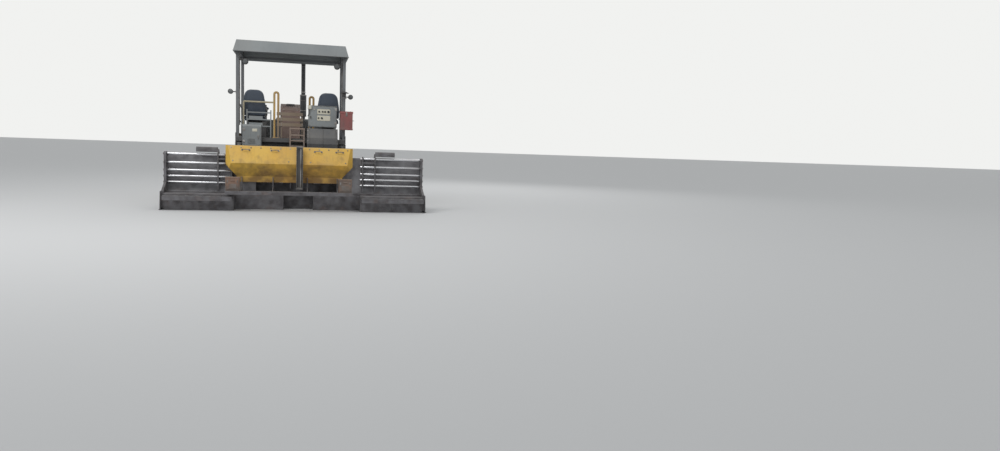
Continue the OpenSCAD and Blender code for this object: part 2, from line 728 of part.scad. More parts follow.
// Rear frame: lift cylinder towers, auger hangers and the chain drives
module rear_frame() {
  tower_top = floor_z - 90 - fit;
  color("darkslategray") {
    // back wall above the tunnels
    block(-frame_half_w, frame_half_w, -frame_rear - 20, -frame_rear - fit, tunnel_roof_z, floor_z - 90 - fit);
    for (s = [-1, 1]) on_side(s) {
      // tower for the lift cylinder, with its fork
      difference() {
        along_x(lift_x - 75, lift_x + 75) polygon([[-1400, frame_z1 + fit], [-1360, frame_z1 + fit],
          [-1360, tower_top], [-1545, tower_top], [-1545, 1300], [-1500, 1275], [-1430, 1150]]);
        block(lift_x - 55, lift_x + 55, -1600, -1415, 900, tower_top + 1);
        rod_x(lift_x - 80, lift_x + 80, lift_top[0], lift_top[1], lift_pin_r + fit);
      }
      block(frame_half_w - 1, lift_x - 74, -1400, -1380 - fit, 1080, 1200);
      // auger hanger at the outer end
      difference() {
        union() {
          along_x(auger_out + 6, auger_out + 24) polygon([[auger_y - 45, auger_z - 60], [auger_y + 45, auger_z - 60],
            [-1480, 560], [-1380, 800], [-1380, 1080], [-1430, 1080], [-1440, 860], [-1560, 600], [auger_y - 45, 480]]);
          rod_x(auger_out + 6, auger_out + 40, auger_y, auger_z, 58);
        }
        rod_x(auger_out, auger_out + 60, auger_y, auger_z, 26 + fit);
      }
    }
    // centre drive housing between the augers
    difference() {
      along_x(-auger_in + 6, auger_in - 6) polygon([[-frame_rear - fit, 480], [auger_y + 50, 320], [auger_y - 30, 320],
        [auger_y - 62, 352], [auger_y - 62, 460], [auger_y - 20, 520], [-frame_rear - 100, 810], [-frame_rear - fit, 860]]);
      rod_x(-auger_in, auger_in, auger_y, auger_z, 26 + fit);
    }
  }
}

module auger(s) {
  len = auger_out - auger_in;
  color("gray") on_side(s) translate([auger_in, auger_y, auger_z]) rotate([0, 90, 0]) {
    cylinder(r = auger_shaft_r, h = len);
    // journals into the drive housing and the outer bearing
    translate([0, 0, -auger_in + 4]) cylinder(r = 26, h = auger_in + 1);
    translate([0, 0, len - 1]) cylinder(r = 26, h = 36);
    translate([0, 0, 12]) linear_extrude(len - 24, twist = -360 * auger_turns, slices = 12 * auger_turns)
      polygon([[auger_shaft_r - 6, -14], [auger_r, -26], [auger_r, 26], [auger_shaft_r - 6, 14]]);
  }
}

// Racks, hoses' brackets and steps on the rear wall
module rear_rack() {
  wall = -frame_rear - 20 - fit;
  ladder_y = -floor_rear - fit;
  color("saddlebrown") {
    // ladder from the screed deck up to the platform
    for (x = [-40, 250]) {
      block(x, x + 30, ladder_y - 60, ladder_y, 1010, floor_z + 230);
      block(x, x + 30, ladder_y - 1, wall, 1010, 1060);
    }
    for (z = [1050, 1170, 1290, 1410, 1530]) block(-11, 251, ladder_y - 60, ladder_y - 20, z, z + 26);
    block(-40, 280, ladder_y - 60, ladder_y - 20, floor_z + 200, floor_z + 230);
  }
}

module handrails() {
  color("goldenrod") {
    // inverted U grab rails on either side of the centre aisle
    for (r = [[-320, -1480, 2450], [425, -900, 2420]]) translate([r[0], r[1], 0]) {
      for (x = [-42, 42]) rod_z(floor_z + fit, r[2] - 42, x, 0, 24);
      translate([0, 0, r[2] - 42]) rotate([90, 0, 0]) rotate_extrude(angle = 180) translate([42, 0]) circle(r = 24);
      block(-78, 78, -40, 40, floor_z + fit, floor_z + 14);
    }
    // slatted guard across the aisle
    for (z = [1730, 1845, 1960]) block(-310, 240, -1500, -1478, z, z + 70);
    for (x = [-225, 210]) block(x, x + 24, -1478.5, -1450, floor_z + fit, 2030);
    // rear rail behind the left seat
    rod_x(-990, -340, -1480, 2230, 18);
    rod_z(floor_z + fit, 2231, -990, -1480, 18);
  }
}

// Seats with pedestal, cushion, back and arm rests
module seat(s) {
  z = floor_z + seat_h;
  color("midnightblue") on_side(s) translate([seat_x, -1060, 0]) {
    block(-150, 150, -130, 150, floor_z + fit, z - 110);
    intersection() {
      along_x(-245, 245) polygon([[-230, z - 120], [200, z - 120], [255, z - 60], [250, z - 10], [180, z + 4],
        [-160, z - 10], [-215, z + 20], [-300, z + 520], [-320, z + 540], [-360, z + 540], [-385, z + 500], [-300, z - 60]]);
      along_y(-500, 300) polygon([[-245, z - 130], [245, z - 130], [245, z + 180], [190, z + 545], [-190, z + 545], [-245, z + 180]]);
    }
    for (x = [-290, 246]) block(x, x + 44, -250, 90, z + 150, z + 190);
    for (x = [-276, 240]) block(x, x + 36, -262, -200, z - 20, z + 151);
  }
}

// Control consoles ahead of the seats, and the dash between them
module consoles() {
  color("dimgray") {
    for (s = [-1, 1]) on_side(s) {
      along_x(seat_x - 210, seat_x + 210) polygon([[-420, floor_z + fit], [-230, floor_z + fit], [-200, 2180], [-330, 2230], [-470, 2120], [-380, 2060]]);
      // steering dial
      translate([seat_x, -400, 2180]) rotate([38, 0, 0]) {
        translate([0, 0, -30]) cylinder(r = 20, h = 70);
        translate([0, 0, 36]) cylinder(r = 95, h = 18);
      }
    }
    along_x(-260, 175) polygon([[-620, floor_z + fit], [-240, floor_z + fit], [-240, 2215], [-330, 2270],
      [-560, 2190], [-620, 2110]]);
  }
}

// Canopy

// A roof tray whose four sides lean inwards: half width w, length from y0 to y1
module hip(w, y0, y1, z0, h, lean) {
  intersection() {
    along_y(y0, y1) polygon([[-w, z0], [w, z0], [w - lean, z0 + h], [lean - w, z0 + h]]);
    along_x(-w, w) polygon([[y0, z0], [y1, z0], [y1 - lean, z0 + h], [y0 + lean, z0 + h]]);
  }
}

canopy_rear = -floor_rear - 150;
canopy_front = canopy_rear + canopy_len;
// Inner face of the canopy posts, and their rear faces
post_x = body_half_w - 12 - post_w;
post_rear_y = -floor_rear + 15;
post_front_y = -floor_front - 20 - post_w;
// Underside of the ceiling beams, which the posts carry
ceiling_z = canopy_z + 60;

module canopy_roof() {
  color("slategray") {
    difference() {
      hip(canopy_half_w, canopy_rear, canopy_front, canopy_z, canopy_h, canopy_lean);
      translate([0, 0, -canopy_t]) hip(canopy_half_w - canopy_t, canopy_rear + canopy_t, canopy_front - canopy_t,
        canopy_z, canopy_h, canopy_lean);
    }
    // pressed ribs on the top
    for (x = [-700, 0, 700]) along_y(canopy_rear + 260, canopy_front - 260) polygon([[x - 150, canopy_z + canopy_h - 1],
      [x + 150, canopy_z + canopy_h - 1], [x + 110, canopy_z + canopy_h + 20], [x - 110, canopy_z + canopy_h + 20]]);
    // ceiling beams
    for (y = [post_rear_y, post_front_y]) block(-canopy_half_w + 100, canopy_half_w - 100, y, y + 60,
      ceiling_z, canopy_z + canopy_h - canopy_t + 1);
  }
}

module canopy_posts() {
  beam_z = ceiling_z - fit;
  front_y = post_front_y;
  rear_y = post_rear_y;
  x0 = post_x;
  color("darkslategray") {
    for (s = [-1, 1]) on_side(s) {
      for (y = [rear_y, front_y]) {
        block(x0, x0 + post_w, y, y + post_w, floor_z + fit, beam_z);
        block(x0 - 60, x0 + post_w, y - 10, y + post_w + 10, floor_z + fit, floor_z + 16);
      }
      // hip rail and knee braces between the posts
      block(x0 + 12, x0 + post_w - 12, rear_y + post_w - 1, front_y + 1, 2150, 2190);
      block(x0 + 12, x0 + post_w - 12, rear_y + post_w - 1, front_y + 1, 1800, 1830);
      for (d = [[rear_y + post_w, 1], [front_y, -1]]) along_x(x0 + 16, x0 + post_w - 16)
        polygon([[d[0] - d[1], beam_z - 10], [d[0] - d[1], beam_z - 175], [d[0] + d[1] * 30, beam_z - 175],
          [d[0] + d[1] * 190, beam_z - 40], [d[0] + d[1] * 190, beam_z - 10]]);
      block(x0 + 12, x0 + post_w - 12, rear_y + post_w - 1, front_y + 1, beam_z - 42, beam_z - 8);
    }
    block(-x0 - 1, x0 + 1, rear_y + 12, rear_y + post_w - 12, beam_z - 50, beam_z - 6);
    block(-x0 - 1, x0 + 1, front_y + 12, front_y + post_w - 12, beam_z - 50, beam_z - 6);
  }
}

// Switch cabinet behind the right seat, with two raised bare plates
module control_cabinet() {
  x0 = 350;
  x1 = 960;
  y0 = -floor_rear + 12;
  color("slategray") {
    block(x0, x1, y0, y0 + 120, 1740, 2200);
    block(x0 + 12, x1 - 12, y0 - 7, y0 + 1, 1752, 2188);
    for (z = [1880, 2020]) block(540, 820, y0 - 12, y0 - 6, z, z + 110);
    for (x = [x0 + 20, x1 - 50]) block(x, x + 30, y0 + 20, y0 + 60, floor_z + fit, 1741);
  }
}

// Red box hung on the right rear post
module red_box() {
  x0 = post_x - 50;
  x1 = x0 + 262;
  y1 = post_rear_y - 10 - fit;
  y0 = y1 - 200;
  z0 = floor_z + 230;
  color("firebrick") {
    block(x0, x1, y0, y1 - 8, z0, z0 + 350);
    block(x0 - 8, x1 + 8, y0 - 8, y1, z0 + 350, z0 + 395);
    block(x0 - 5, x1 + 5, y0 - 5, y1 - 3, z0 - 5, z0 + 25);
    // hanger on the post
    block(post_x + 10, post_x + post_w - 10, y1 - 9, y1 + 10, z0 + 60, z0 + 340);
  }
}

// Cabinet and shelves at the left rear corner
module tool_rack() {
  x0 = -body_half_w + 155;
  x1 = x0 + 380;
  y1 = -floor_rear - fit;
  y0 = y1 - 130;
  color("slategray") {
    along_x(x0, x1) polygon([[y0, 1280], [y1, 1280], [y1, 1740], [y0 + 45, 1740], [y0, 1700]]);
    // door with a raised edge, and its upright handles
    block(x0 + 20, x1 - 20, y0 - 8, y0 + 1, 1300, 1680);
    for (x = [x0 - 22, x0 + 40]) rod_z(1736, 1850, x, y0 + 61, 10);
    block(x0 - 34, x0 + 1, y0 + 49, y0 + 73, 1715, 1739);
    // shelves over the deck
    for (z = [1700, 1840, 1990]) block(-930, -420, y1 + 12, y1 + 90, z, z + 24);
    for (x = [-930, -442]) block(x, x + 22, y1 + 12, y1 + 90, floor_z + fit, 2060);
    for (z = [1724, 1864]) block(-880, -600, y1 + 20, y1 + 80, z - 1, z + 60);
  }
}

// Sloped casing under the switch cabinet, with pressed ribs
module rear_casing() {
  wall = -frame_rear - 20 - 2 * fit;
  edge = -floor_rear - fit;
  x0 = 330;
  x1 = lift_x - 100;
  color("dimgray") {
    along_x(x0, x1) polygon([[wall, 1020], [wall, floor_z - 91], [edge, floor_z - 91], [edge, 1690],
      [edge - 30, 1705], [edge - 130, 1500], [edge - 150, 1370], [edge - 70, 1020]]);
    for (x = [x0 + 40, (x0 + x1) / 2, x1 - 56]) along_x(x, x + 16) polygon([[edge - 69, 1040], [edge - 82, 1040],
      [edge - 161, 1372], [edge - 141, 1504], [edge - 44, 1700], [edge - 29, 1690], [edge - 129, 1500], [edge - 149, 1370]]);
  }
}

// Work lamps, side lamps on stalks and the beacon post
module lamps() {
  outer = post_x + post_w;
  y0 = post_rear_y;
  color("black") for (s = [-1, 1]) on_side(s) {
    // work lamp on a bracket on the rear post
    block(post_x - 148, post_x - fit, y0 + 10, y0 + 40, 3090, 3120);
    translate([post_x - 128, y0 + 25, 3085]) rotate([110, 0, 0]) cylinder(r1 = 40, r2 = 62, h = 80);
    // side lamp on a stalk at shoulder height
    rod_x(outer + fit, outer + 100, y0 + 32, 2420, 11);
    rod_y(y0 - 10, y0 + 74, outer + 108, 2420, 50);
  }
  // horn with a wide cap behind the right post
  color("black") {
    block(post_x + 20, post_x + 44, y0 - 110, y0 - fit, 2440, 2470);
    rod_z(2400, 2492, post_x + 32, y0 - 110, 36);
    translate([post_x + 32, y0 - 110, 2491]) cylinder(r1 = 100, r2 = 40, h = 34);
  }
}

// Tow points: bracket, levelling cylinder and pin on each side
module tow_brackets() {
  x0 = track_outer_x + 8;
  x1 = arm_x - 8;
  color("darkslategray") for (s = [-1, 1]) on_side(s) {
    along_x(x0, x1) polygon([[tow_y - 150, frame_z1 - deck_t - 75 - fit], [tow_y + 150, frame_z1 - deck_t - 75 - fit],
      [tow_y + 110, tow_z - 60], [tow_y + 60, tow_z - 100], [tow_y - 60, tow_z - 100], [tow_y - 110, tow_z - 60]]);
    block(x0, body_half_w - 12 - fit, tow_y - 150, tow_y + 150, frame_z1 - deck_t - 95, frame_z1 - deck_t - fit);
    rod_x(x1 - 1, wing_half_w - 4, tow_y, tow_z, tow_pin_r);
    rod_x(arm_x + arm_t + 3, wing_half_w - 2, tow_y, tow_z, tow_pin_r + 22);
    // levelling cylinder above the pin
    rod_z(tow_z + 130, frame_z1 - 180, arm_x + arm_t / 2, tow_y, 34);
    block(x1 - 1, arm_x + arm_t / 2 + 20, tow_y - 40, tow_y + 40, frame_z1 - 200, frame_z1 - 160);
    rod_z(tow_z + 102, tow_z + 131, arm_x + arm_t / 2, tow_y, 18);
    block(x1 - 1, arm_x + arm_t / 2 + 18, tow_y - 22, tow_y + 22, tow_z + 100, tow_z + 124);
  }
}

// Screed arms

module tow_arm(s) {
  color("darkslategray") on_side(s) {
    difference() {
      union() {
        along_x(arm_x, arm_x + arm_t) polygon([[tow_y - 20, tow_z + 88], [-1180, 620], [-1440, 780],
          [-1760, 800], [row1 + fit, 690], [row1 + fit, 60], [row1 + 80, 60], [row1 + 95, 480],
          [-1740, 600], [-1460, 600], [-1250, 440], [tow_y - 20, tow_z - 82]]);
        rod_x(arm_x, arm_x + arm_t, tow_y, tow_z, 92);
      }
      rod_x(arm_x - 1, arm_x + arm_t + 1, tow_y, tow_z, tow_pin_r + fit);
      // lightening recesses on the outer side
      along_x(arm_x + arm_t - 10, arm_x + arm_t + 1) polygon([[tow_y - 160, 580], [-1150, 590], [-1200, 480], [tow_y - 160, 465]]);
    }
    // fork for the lift cylinder's eye
    along_y(lift_eye[0] - 46, lift_eye[0] + 46) polygon([[lift_x - 42, lift_eye[1] - 64], [arm_x + 1, lift_eye[1] - 64],
      [arm_x + 1, lift_eye[1] + 40], [lift_x + 26, lift_eye[1] + 40], [lift_x + 26, lift_eye[1] - 48],
      [lift_x - 26, lift_eye[1] - 48], [lift_x - 26, lift_eye[1] + 40], [lift_x - 42, lift_eye[1] + 40]]);
    rod_x(lift_x - 42, arm_x + 1, lift_eye[0], lift_eye[1], lift_pin_r);
  }
}

// Both lift cylinders, each hung on its upper pin
module lift_axis(s) {
  on_side(s) translate([lift_x, lift_eye[0], lift_eye[1]]) rotate([-lift_lean, 0, 0]) children();
}

module lift_barrels() {
  color("gray") for (s = [-1, 1]) lift_axis(s) difference() {
    union() {
      rod_z(lift_len - lift_barrel_len, lift_len - 18, 0, 0, lift_r);
      rod_x(-44, 44, 0, lift_len, 38);
      rod_x(-70, 70, 0, lift_len, lift_pin_r);
    }
    rod_z(lift_len - lift_barrel_len - 1, lift_len - 34, 0, 0, lift_rod_r + fit);
  }
}

module lift_rods() {
  color("gainsboro") for (s = [-1, 1]) lift_axis(s) difference() {
    union() {
      rod_z(20, lift_len - lift_barrel_len + 30, 0, 0, lift_rod_r);
      rod_x(-20, 20, 0, 0, 42);
    }
    rod_x(-21, 21, 0, 0, lift_pin_r + 4);
  }
}

// Screed

// One row's box: sole plate, tamper nose, and the ribbed body above
module row_box(x0, x1, front) {
  along_x(x0, x1) polygon([[front, 40], [front - 8, sole_t], [front - 26, 0], [front - row_depth + 8, 0],
    [front - row_depth, 8], [front - row_depth, box_h - 20], [front - row_depth + 20, box_h],
    [front - 60, box_h], [front, box_h - 70]]);
}

module base_screed() {
  color("dimgray") {
    row_box(-half_base, half_base, row1);
    // front moldboard
    along_x(pass - arm_x, arm_x - pass) polygon([[row1 - 1, 46], [row1 + 14, 60], [row1 + 14, 70], [row1 - 1, 64]]);
  }
}

// Upper frame: back beam, centre bulkhead and the bored plates for the inner tubes
module guide_frame() {
  top = cover_top_z - cover_t - fit;
  color("darkslategray") {
    difference() {
      union() {
        // back beam over the base box
        block(-half_base, half_base, back_beam_y + 40, back_beam_y + 120, box_h + fit, box_h + 60 + 90);
        along_x(-half_base, half_base) polygon([[back_beam_y + 40, 470], [back_beam_y + 60, 470],
          [back_beam_y + 60, top], [back_beam_y + 40, top]]);
        for (s = [-1, 1], x = [half_base - plate_t, guide_in - plate_t]) on_side(s)
          along_x(x, x + plate_t) polygon([[back_beam_y + 50, 440], [plane_a - 50, 440], [plane_a - guide_half, 480],
            [plane_a - guide_half, 1010], [plane_a + 20, top], [back_beam_y + 50, top]]);
        // centre bulkhead that carries the rear cover
        along_x(-8, 8) polygon([[back_beam_y + 50, 420], [cover_low_y + 60, 440], [cover_low_y + cover_t + fit, cover_low_z],
          [cover_low_y + cover_t + fit, 680], [cover_crease_y + cover_t + 8, cover_crease_z], [cover_top_y + cover_t + 12, top],
          [back_beam_y + 50, top]]);
        // front braces down to the tow arm faces
        for (s = [-1, 1]) on_side(s) along_x(half_base - 120, half_base - 100) polygon([[back_beam_y + 110, 470],
          [row1 - 30, box_h + fit], [back_beam_y + 60, box_h + fit], [back_beam_y + 55, 1150], [back_beam_y + 80, 1150]]);
      }
      for (s = [-1, 1], z = inner_tube_z) on_side(s) rod_x(guide_in - 60, half_base + 1, plane_a, z, tube_r + fit);
    }
  }
}

// Outline of the rear cover in Y and Z, closed towards the front; d shrinks it
module cover_profile(d) {
  front = back_beam_y + 40 + (d > 0 ? 1 : 0);
  polygon([[front, cover_top_z - d], [cover_top_y + 10 + d, cover_top_z - d], [cover_top_y + d, cover_top_z - 14 - d / 2],
    [cover_crease_y + d, cover_crease_z], [cover_low_y + d, 680], [cover_low_y + d, cover_low_z], [front, cover_low_z]]);
}

// Outline of the cover seen from behind: the lower corners draw in; d shrinks it
module cover_face(d) {
  taper = 210;
  w = half_base - d;
  polygon([[-w, cover_crease_z - 30], [-w + taper, 680], [-w + taper, 300], [w - taper, 300],
    [w - taper, 680], [w, cover_crease_z - 30], [w, cover_top_z + 1], [-w, cover_top_z + 1]]);
}

// Outline of the cover in plan, with bevelled rear corners; d moves the bevels in
module cover_plan(d) {
  w = half_base + (d > 0 ? 1 : 0);
  translate([0, d * 1.7]) polygon([[-w, back_beam_y + 41], [-w, cover_top_y + 70], [-half_base + 120, cover_crease_y - 1],
    [half_base - 120, cover_crease_y - 1], [w, cover_top_y + 70], [w, back_beam_y + 41]]);
}

module screed_cover() {
  rim_y = cover_low_y + 30;
  color("orange") difference() {
    intersection() {
      along_x(-half_base, half_base) cover_profile(0);
      along_y(cover_crease_y - 1, back_beam_y + 41) cover_face(0);
      translate([0, 0, cover_low_z - 10]) linear_extrude(cover_top_z) cover_plan(0);
    }
    // hollow, open in front, below and at both ends
    intersection() {
      along_x(-half_base - 1, half_base + 1) {
        cover_profile(cover_t);
        translate([cover_low_y + cover_t, cover_low_z - 10]) square([back_beam_y + 42 - cover_low_y - cover_t, 12]);
      }
      translate([0, 0, cover_low_z - 200]) linear_extrude(cover_top_z) cover_plan(cover_t);
      // a rim stays along both ends, behind the guide tubes
      union() {
        block(-half_base - 1, half_base + 1, rim_y, back_beam_y + 50, cover_low_z - 20, cover_top_z + 1);
        along_y(cover_crease_y - 2, rim_y + 1) cover_face(cover_t + 4);
      }
    }
  }
}

// Dark channel that stands against the cover, right of centre
module centre_post() {
  x = 185;
  color("black") {
    difference() {
      along_x(x - 65, x + 65) polygon([[cover_crease_y - fit, 430], [cover_crease_y - fit, cover_top_z + 20],
        [cover_crease_y - 60, cover_top_z + 20], [cover_crease_y - 60, 430]]);
      block(x - 51, x + 51, cover_crease_y - 61, cover_crease_y - 14, 470, cover_top_z - 20);
    }
    block(x + 12, x + 34, cover_crease_y - 56, cover_crease_y - 10, 480, cover_top_z - 30);
  }
}

// Footboard behind the base, on brackets under the rear cover
module main_footboard() {
  half = half_base - 30;
  y1 = board_rear + board_depth - 30;
  color("dimgray") {
    difference() {
      block(-half, half, board_rear, y1, board_z, board_z + board_t);
      for (x = [-1100:200:1100]) block(x - 70, x + 70, board_rear + 50, y1 - 50, board_z - 1, board_z + board_t + 1);
    }
    block(-half, half, board_rear, board_rear + 12, board_z - 42, board_z + board_t);
    for (s = [-1, 1], x = [330, 930]) on_side(s) along_x(x, x + 14) polygon([[y1 - 60, board_z], [cover_low_y + 30, board_z],
      [cover_low_y - fit, board_z + 60], [cover_low_y - fit, 668], [cover_low_y - 40, 668], [cover_low_y - 60, 470],
      [y1 - 20, board_z + board_t], [y1 - 60, board_z + board_t]]);
  }
}

// Burner boxes at the ends of the main footboard
module end_boxes() {
  z0 = board_z + board_t + fit;
  y0 = board_rear + 55;
  x0 = half_base - 300;
  color("saddlebrown") for (s = [-1, 1]) on_side(s) {
    block(x0, x0 + 262, y0, y0 + 130, z0, z0 + 250);
    block(x0 - 6, x0 + 268, y0 - 6, y0 + 136, z0 + 249, z0 + 272);
    block(x0 + 24, x0 + 238, y0 - 8, y0 + 1, z0 + 30, z0 + 220);
    rod_x(x0 + 90, x0 + 172, y0 - 16, z0 + 205, 9);
  }
}

// Inner stage: box, outer end plate, inner guide plate and top rail
module inner_stage(s, out) {
  x0 = out + 6;
  x1 = half_base + out;
  color("dimgray") on_side(s) {
    difference() {
      union() {
        row_box(x0, x1, row2);
        // outer end plate carries both sets of tubes
        along_x(x1 + pass, x1 + pass + plate_t) polygon([[row2 - 4, 20], [row2 - row_depth + 6, 20],
          [plane_b - 62, box_h], [plane_b - 62, 1110], [plane_b - 40, hose_box_z + 60], [plane_b + 70, hose_box_z + 60],
          [plane_a + 60, 1060], [row2 - 4, 960]]);
        block(x1 - 1, x1 + pass + 1, row2 - row_depth + 10, row2 - 10, 20, box_h - 22);
        // inner guide plate
        along_x(x1 - 250, x1 - 250 + plate_t) polygon([[plane_b + 55, box_h - 20], [plane_b - 55, box_h - 20],
          [plane_b - 55, 1130], [plane_b + 55, 1130]]);
        // upright plate behind the outer stage's one
        block(x1 - inner_curtain, x1 + pass + 1, plane_b + guide_half - 8, plane_b + guide_half - 8 + curtain_t,
          curtain_low, curtain_high);
        // rail that ties the two plates together
        block(x1 - 250, x1 + pass + 1, plane_b - 40, plane_b + 40, 990, 1020);
        // hose box that reaches out over the tubes
        along_x(x1 + pass + plate_t - 1, x1 + pass + plate_t + 400) polygon([[plane_b - 55, hose_box_z],
          [plane_b + 60, hose_box_z], [plane_b + 60, hose_box_z + 70], [plane_b + 35, hose_box_z + 100],
          [plane_b - 30, hose_box_z + 100], [plane_b - 55, hose_box_z + 75]]);
      }
      for (z = outer_tube_z) rod_x(x1 - 300, x1 + 60, plane_b, z, tube_r + fit);
      // slot that the outer stage's upright plate runs through
      block(x1 + pass - 1, x1 + 60, curtain_y - curtain_t - pass, curtain_y + pass, curtain_low - pass, curtain_high + pass);
      for (z = inner_tube_z) rod_x(x1 + pass - 1, x1 + 60, plane_a, z, tube_r - 4);
    }
  }
}

module inner_tubes(s, out) {
  x1 = half_base + out + pass;
  color("gainsboro") on_side(s) for (z = inner_tube_z)
    rod_x(x1 - fit - tube_len, x1 - fit, plane_a, z, tube_r);
}

// Outer stage: box, end frame, top rail and its own footboard
module outer_stage(s, inner, out) {
  x0 = inner + out + 6;
  x1 = half_base + inner + out + 40;
  color("dimgray") on_side(s) {
    row_box(x0, x1, row3);
    difference() {
      along_x(x1 - 1, x1 + 44) polygon([[row3 - 2, 40], [screed_rear + 4, 40], [screed_rear + 4, box_h + 40],
        [plane_b - 70, 520], [plane_b - 70, 1090], [plane_b - 50, hose_box_z - 10], [plane_b + 90, hose_box_z - 10],
        [plane_b + 110, 1080], [plane_b + 110, 420], [row3 - 2, box_h]]);
      along_x(x1 + 12, x1 + 45) polygon([[row3 - 60, 90], [screed_rear + 60, 90], [screed_rear + 60, box_h - 20],
        [row3 - 60, box_h - 20]]);
    }
    // upright plate that holds the mix back
    block(x1 - outer_curtain, x1, curtain_y - curtain_t, curtain_y, curtain_low, curtain_high);
    // footboard, lower than the main one so that it passes under it
    difference() {
      block(x0 + 20, x1, board_rear + 20, screed_rear + 1, 262, 286);
      for (i = [0:5]) block(x0 + 80 + i * 200, x0 + 220 + i * 200, board_rear + 60, screed_rear - 40, 261, 287);
    }
    block(x0 + 20, x1, board_rear + 20, board_rear + 30, 200, 286);
  }
}

module outer_tubes(s, inner, out) {
  x1 = half_base + inner + out + 39;
  color("gainsboro") on_side(s) for (z = outer_tube_z)
    rod_x(x1 - fit - tube_len - 30, x1 - fit, plane_b, z, tube_r);
}

// Gate that closes the outer end against the mat's edge
module end_gate(s, reach) {
  x0 = reach + fit;
  color("darkslategray") on_side(s) difference() {
    union() {
      along_x(x0, x0 + 14) polygon([[row1 + 120, 60], [row1 + 60, 0], [screed_rear - 60, 0], [screed_rear - 110, 50],
        [screed_rear - 60, 360], [row3, 380], [row1 + 60, 380], [row1 + 120, 340]]);
      along_x(x0, x0 + 36) polygon([[row1 + 60, 0], [screed_rear - 60, 0], [screed_rear - 60, 18], [row1 + 60, 18]]);
    }
    for (y = [row3 - 80, row3 - 240]) rod_x(x0 - 1, x0 + 15, y, 200, 11);
  }
}

left_reach = half_base + left_inner + left_outer + 84;
right_reach = half_base + right_inner + right_outer + 84;

chassis();
conveyors();
undercarriage(-1);  // undercarriage_left
undercarriage(1);  // undercarriage_right
track(-1);  // track_left
track(1);  // track_right
engine_block();
hood_shell();
hood_door(-1);  // hood_door_left
hood_door(1);  // hood_door_right
exhaust_stack();
platform();
fuel_tank();
hydraulic_tank();
rear_frame();
rear_rack();
handrails();
seat(-1);  // seat_left
seat(1);  // seat_right
consoles();
canopy_roof();
canopy_posts();
control_cabinet();
red_box();
tool_rack();
rear_casing();
lamps();
tow_brackets();
push_beam();
push_roller(-1);  // push_roller_left
push_roller(1);  // push_roller_right
front_apron();
wing(-1);  // wing_left
wing(1);  // wing_right
wing_barrel(-1);  // wing_barrel_left
wing_barrel(1);  // wing_barrel_right
wing_rod(-1);  // wing_rod_left
wing_rod(1);  // wing_rod_right
auger(-1);  // auger_left
auger(1);  // auger_right
lift_barrels();
lift_rods();
tow_arm(-1);  // tow_arm_left
tow_arm(1);  // tow_arm_right
base_screed();
guide_frame();
screed_cover();
centre_post();
main_footboard();
end_boxes();
inner_stage(-1, left_inner);  // inner_stage_left
inner_stage(1, right_inner);  // inner_stage_right
inner_tubes(-1, left_inner);  // inner_tubes_left
inner_tubes(1, right_inner);  // inner_tubes_right
outer_stage(-1, left_inner, left_outer);  // outer_stage_left
outer_stage(1, right_inner, right_outer);  // outer_stage_right
outer_tubes(-1, left_inner, left_outer);  // outer_tubes_left
outer_tubes(1, right_inner, right_outer);  // outer_tubes_right
end_gate(-1, left_reach);  // end_gate_left
end_gate(1, right_reach);  // end_gate_right
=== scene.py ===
# %% [markdown]
# Looks for a crawler asphalt paver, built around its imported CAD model. The solids already have
# the real sizes and joints, so Blender adds what a solid can't show: paint, dust, asphalt stains,
# polished rods, padded seats, lamp lenses and the many small fittings. Lengths are in metres.

# %% Frame and modules
import bpy
import bmesh
import json
import math
import numpy as np
from mathutils import Matrix, Vector
from mathutils.bvhtree import BVHTree


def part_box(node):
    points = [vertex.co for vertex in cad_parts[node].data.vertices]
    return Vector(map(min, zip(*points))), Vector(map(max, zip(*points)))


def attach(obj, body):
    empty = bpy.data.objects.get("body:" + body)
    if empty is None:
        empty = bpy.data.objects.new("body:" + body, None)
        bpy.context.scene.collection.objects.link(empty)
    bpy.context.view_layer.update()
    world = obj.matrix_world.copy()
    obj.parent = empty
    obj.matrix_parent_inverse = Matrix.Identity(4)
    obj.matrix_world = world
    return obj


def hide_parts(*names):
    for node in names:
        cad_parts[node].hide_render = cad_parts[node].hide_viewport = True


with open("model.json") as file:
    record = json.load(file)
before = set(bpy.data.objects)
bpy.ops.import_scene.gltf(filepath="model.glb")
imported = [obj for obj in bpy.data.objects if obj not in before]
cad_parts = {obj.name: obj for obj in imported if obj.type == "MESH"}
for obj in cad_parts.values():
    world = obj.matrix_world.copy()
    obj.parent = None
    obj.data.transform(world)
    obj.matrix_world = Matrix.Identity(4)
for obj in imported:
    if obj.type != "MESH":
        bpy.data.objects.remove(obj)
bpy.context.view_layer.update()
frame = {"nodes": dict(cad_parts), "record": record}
nodes = frame["nodes"]


def new_object(name, data):
    piece = bpy.data.objects.new(name, data)
    bpy.context.scene.collection.objects.link(piece)
    return piece


# %% [markdown]
# The photograph was taken from about 16 m behind the screed, with the camera turned to the right
# of the machine. Its pose was solved from the machine's corners. It could be typed in as a
# matrix, but a heading, a tilt and a roll are easier to read, and each can be tried by hand. The
# tractor stands about three degrees out of level against its own screed. One rigid part can't
# show that, so the roll is a value between the two.

# %% Camera
CAMERA_AT = Vector((0.267, -18.727, 1.334))
HEADING = math.radians(14.62)  # to the right of +Y
TILT = math.radians(-5.56)
ROLL = math.radians(1.9)
SENSOR_WIDTH = 36.0
FOCAL_LENGTH = 27.27  # in millimetres, like the sensor
SEES_AS_FAR_AS = 1500


def camera_turn(heading, tilt, roll):
    """The camera's rotation: it looks along its own -Z, with +Y up."""
    flat = math.cos(tilt)
    forward = Vector((math.sin(heading) * flat, math.cos(heading) * flat, math.sin(tilt)))
    level = Vector((math.cos(heading), -math.sin(heading), 0))
    upward = level.cross(forward)
    right = math.cos(roll) * level + math.sin(roll) * upward
    up = math.cos(roll) * upward - math.sin(roll) * level
    return Matrix((right, up, -forward)).transposed()


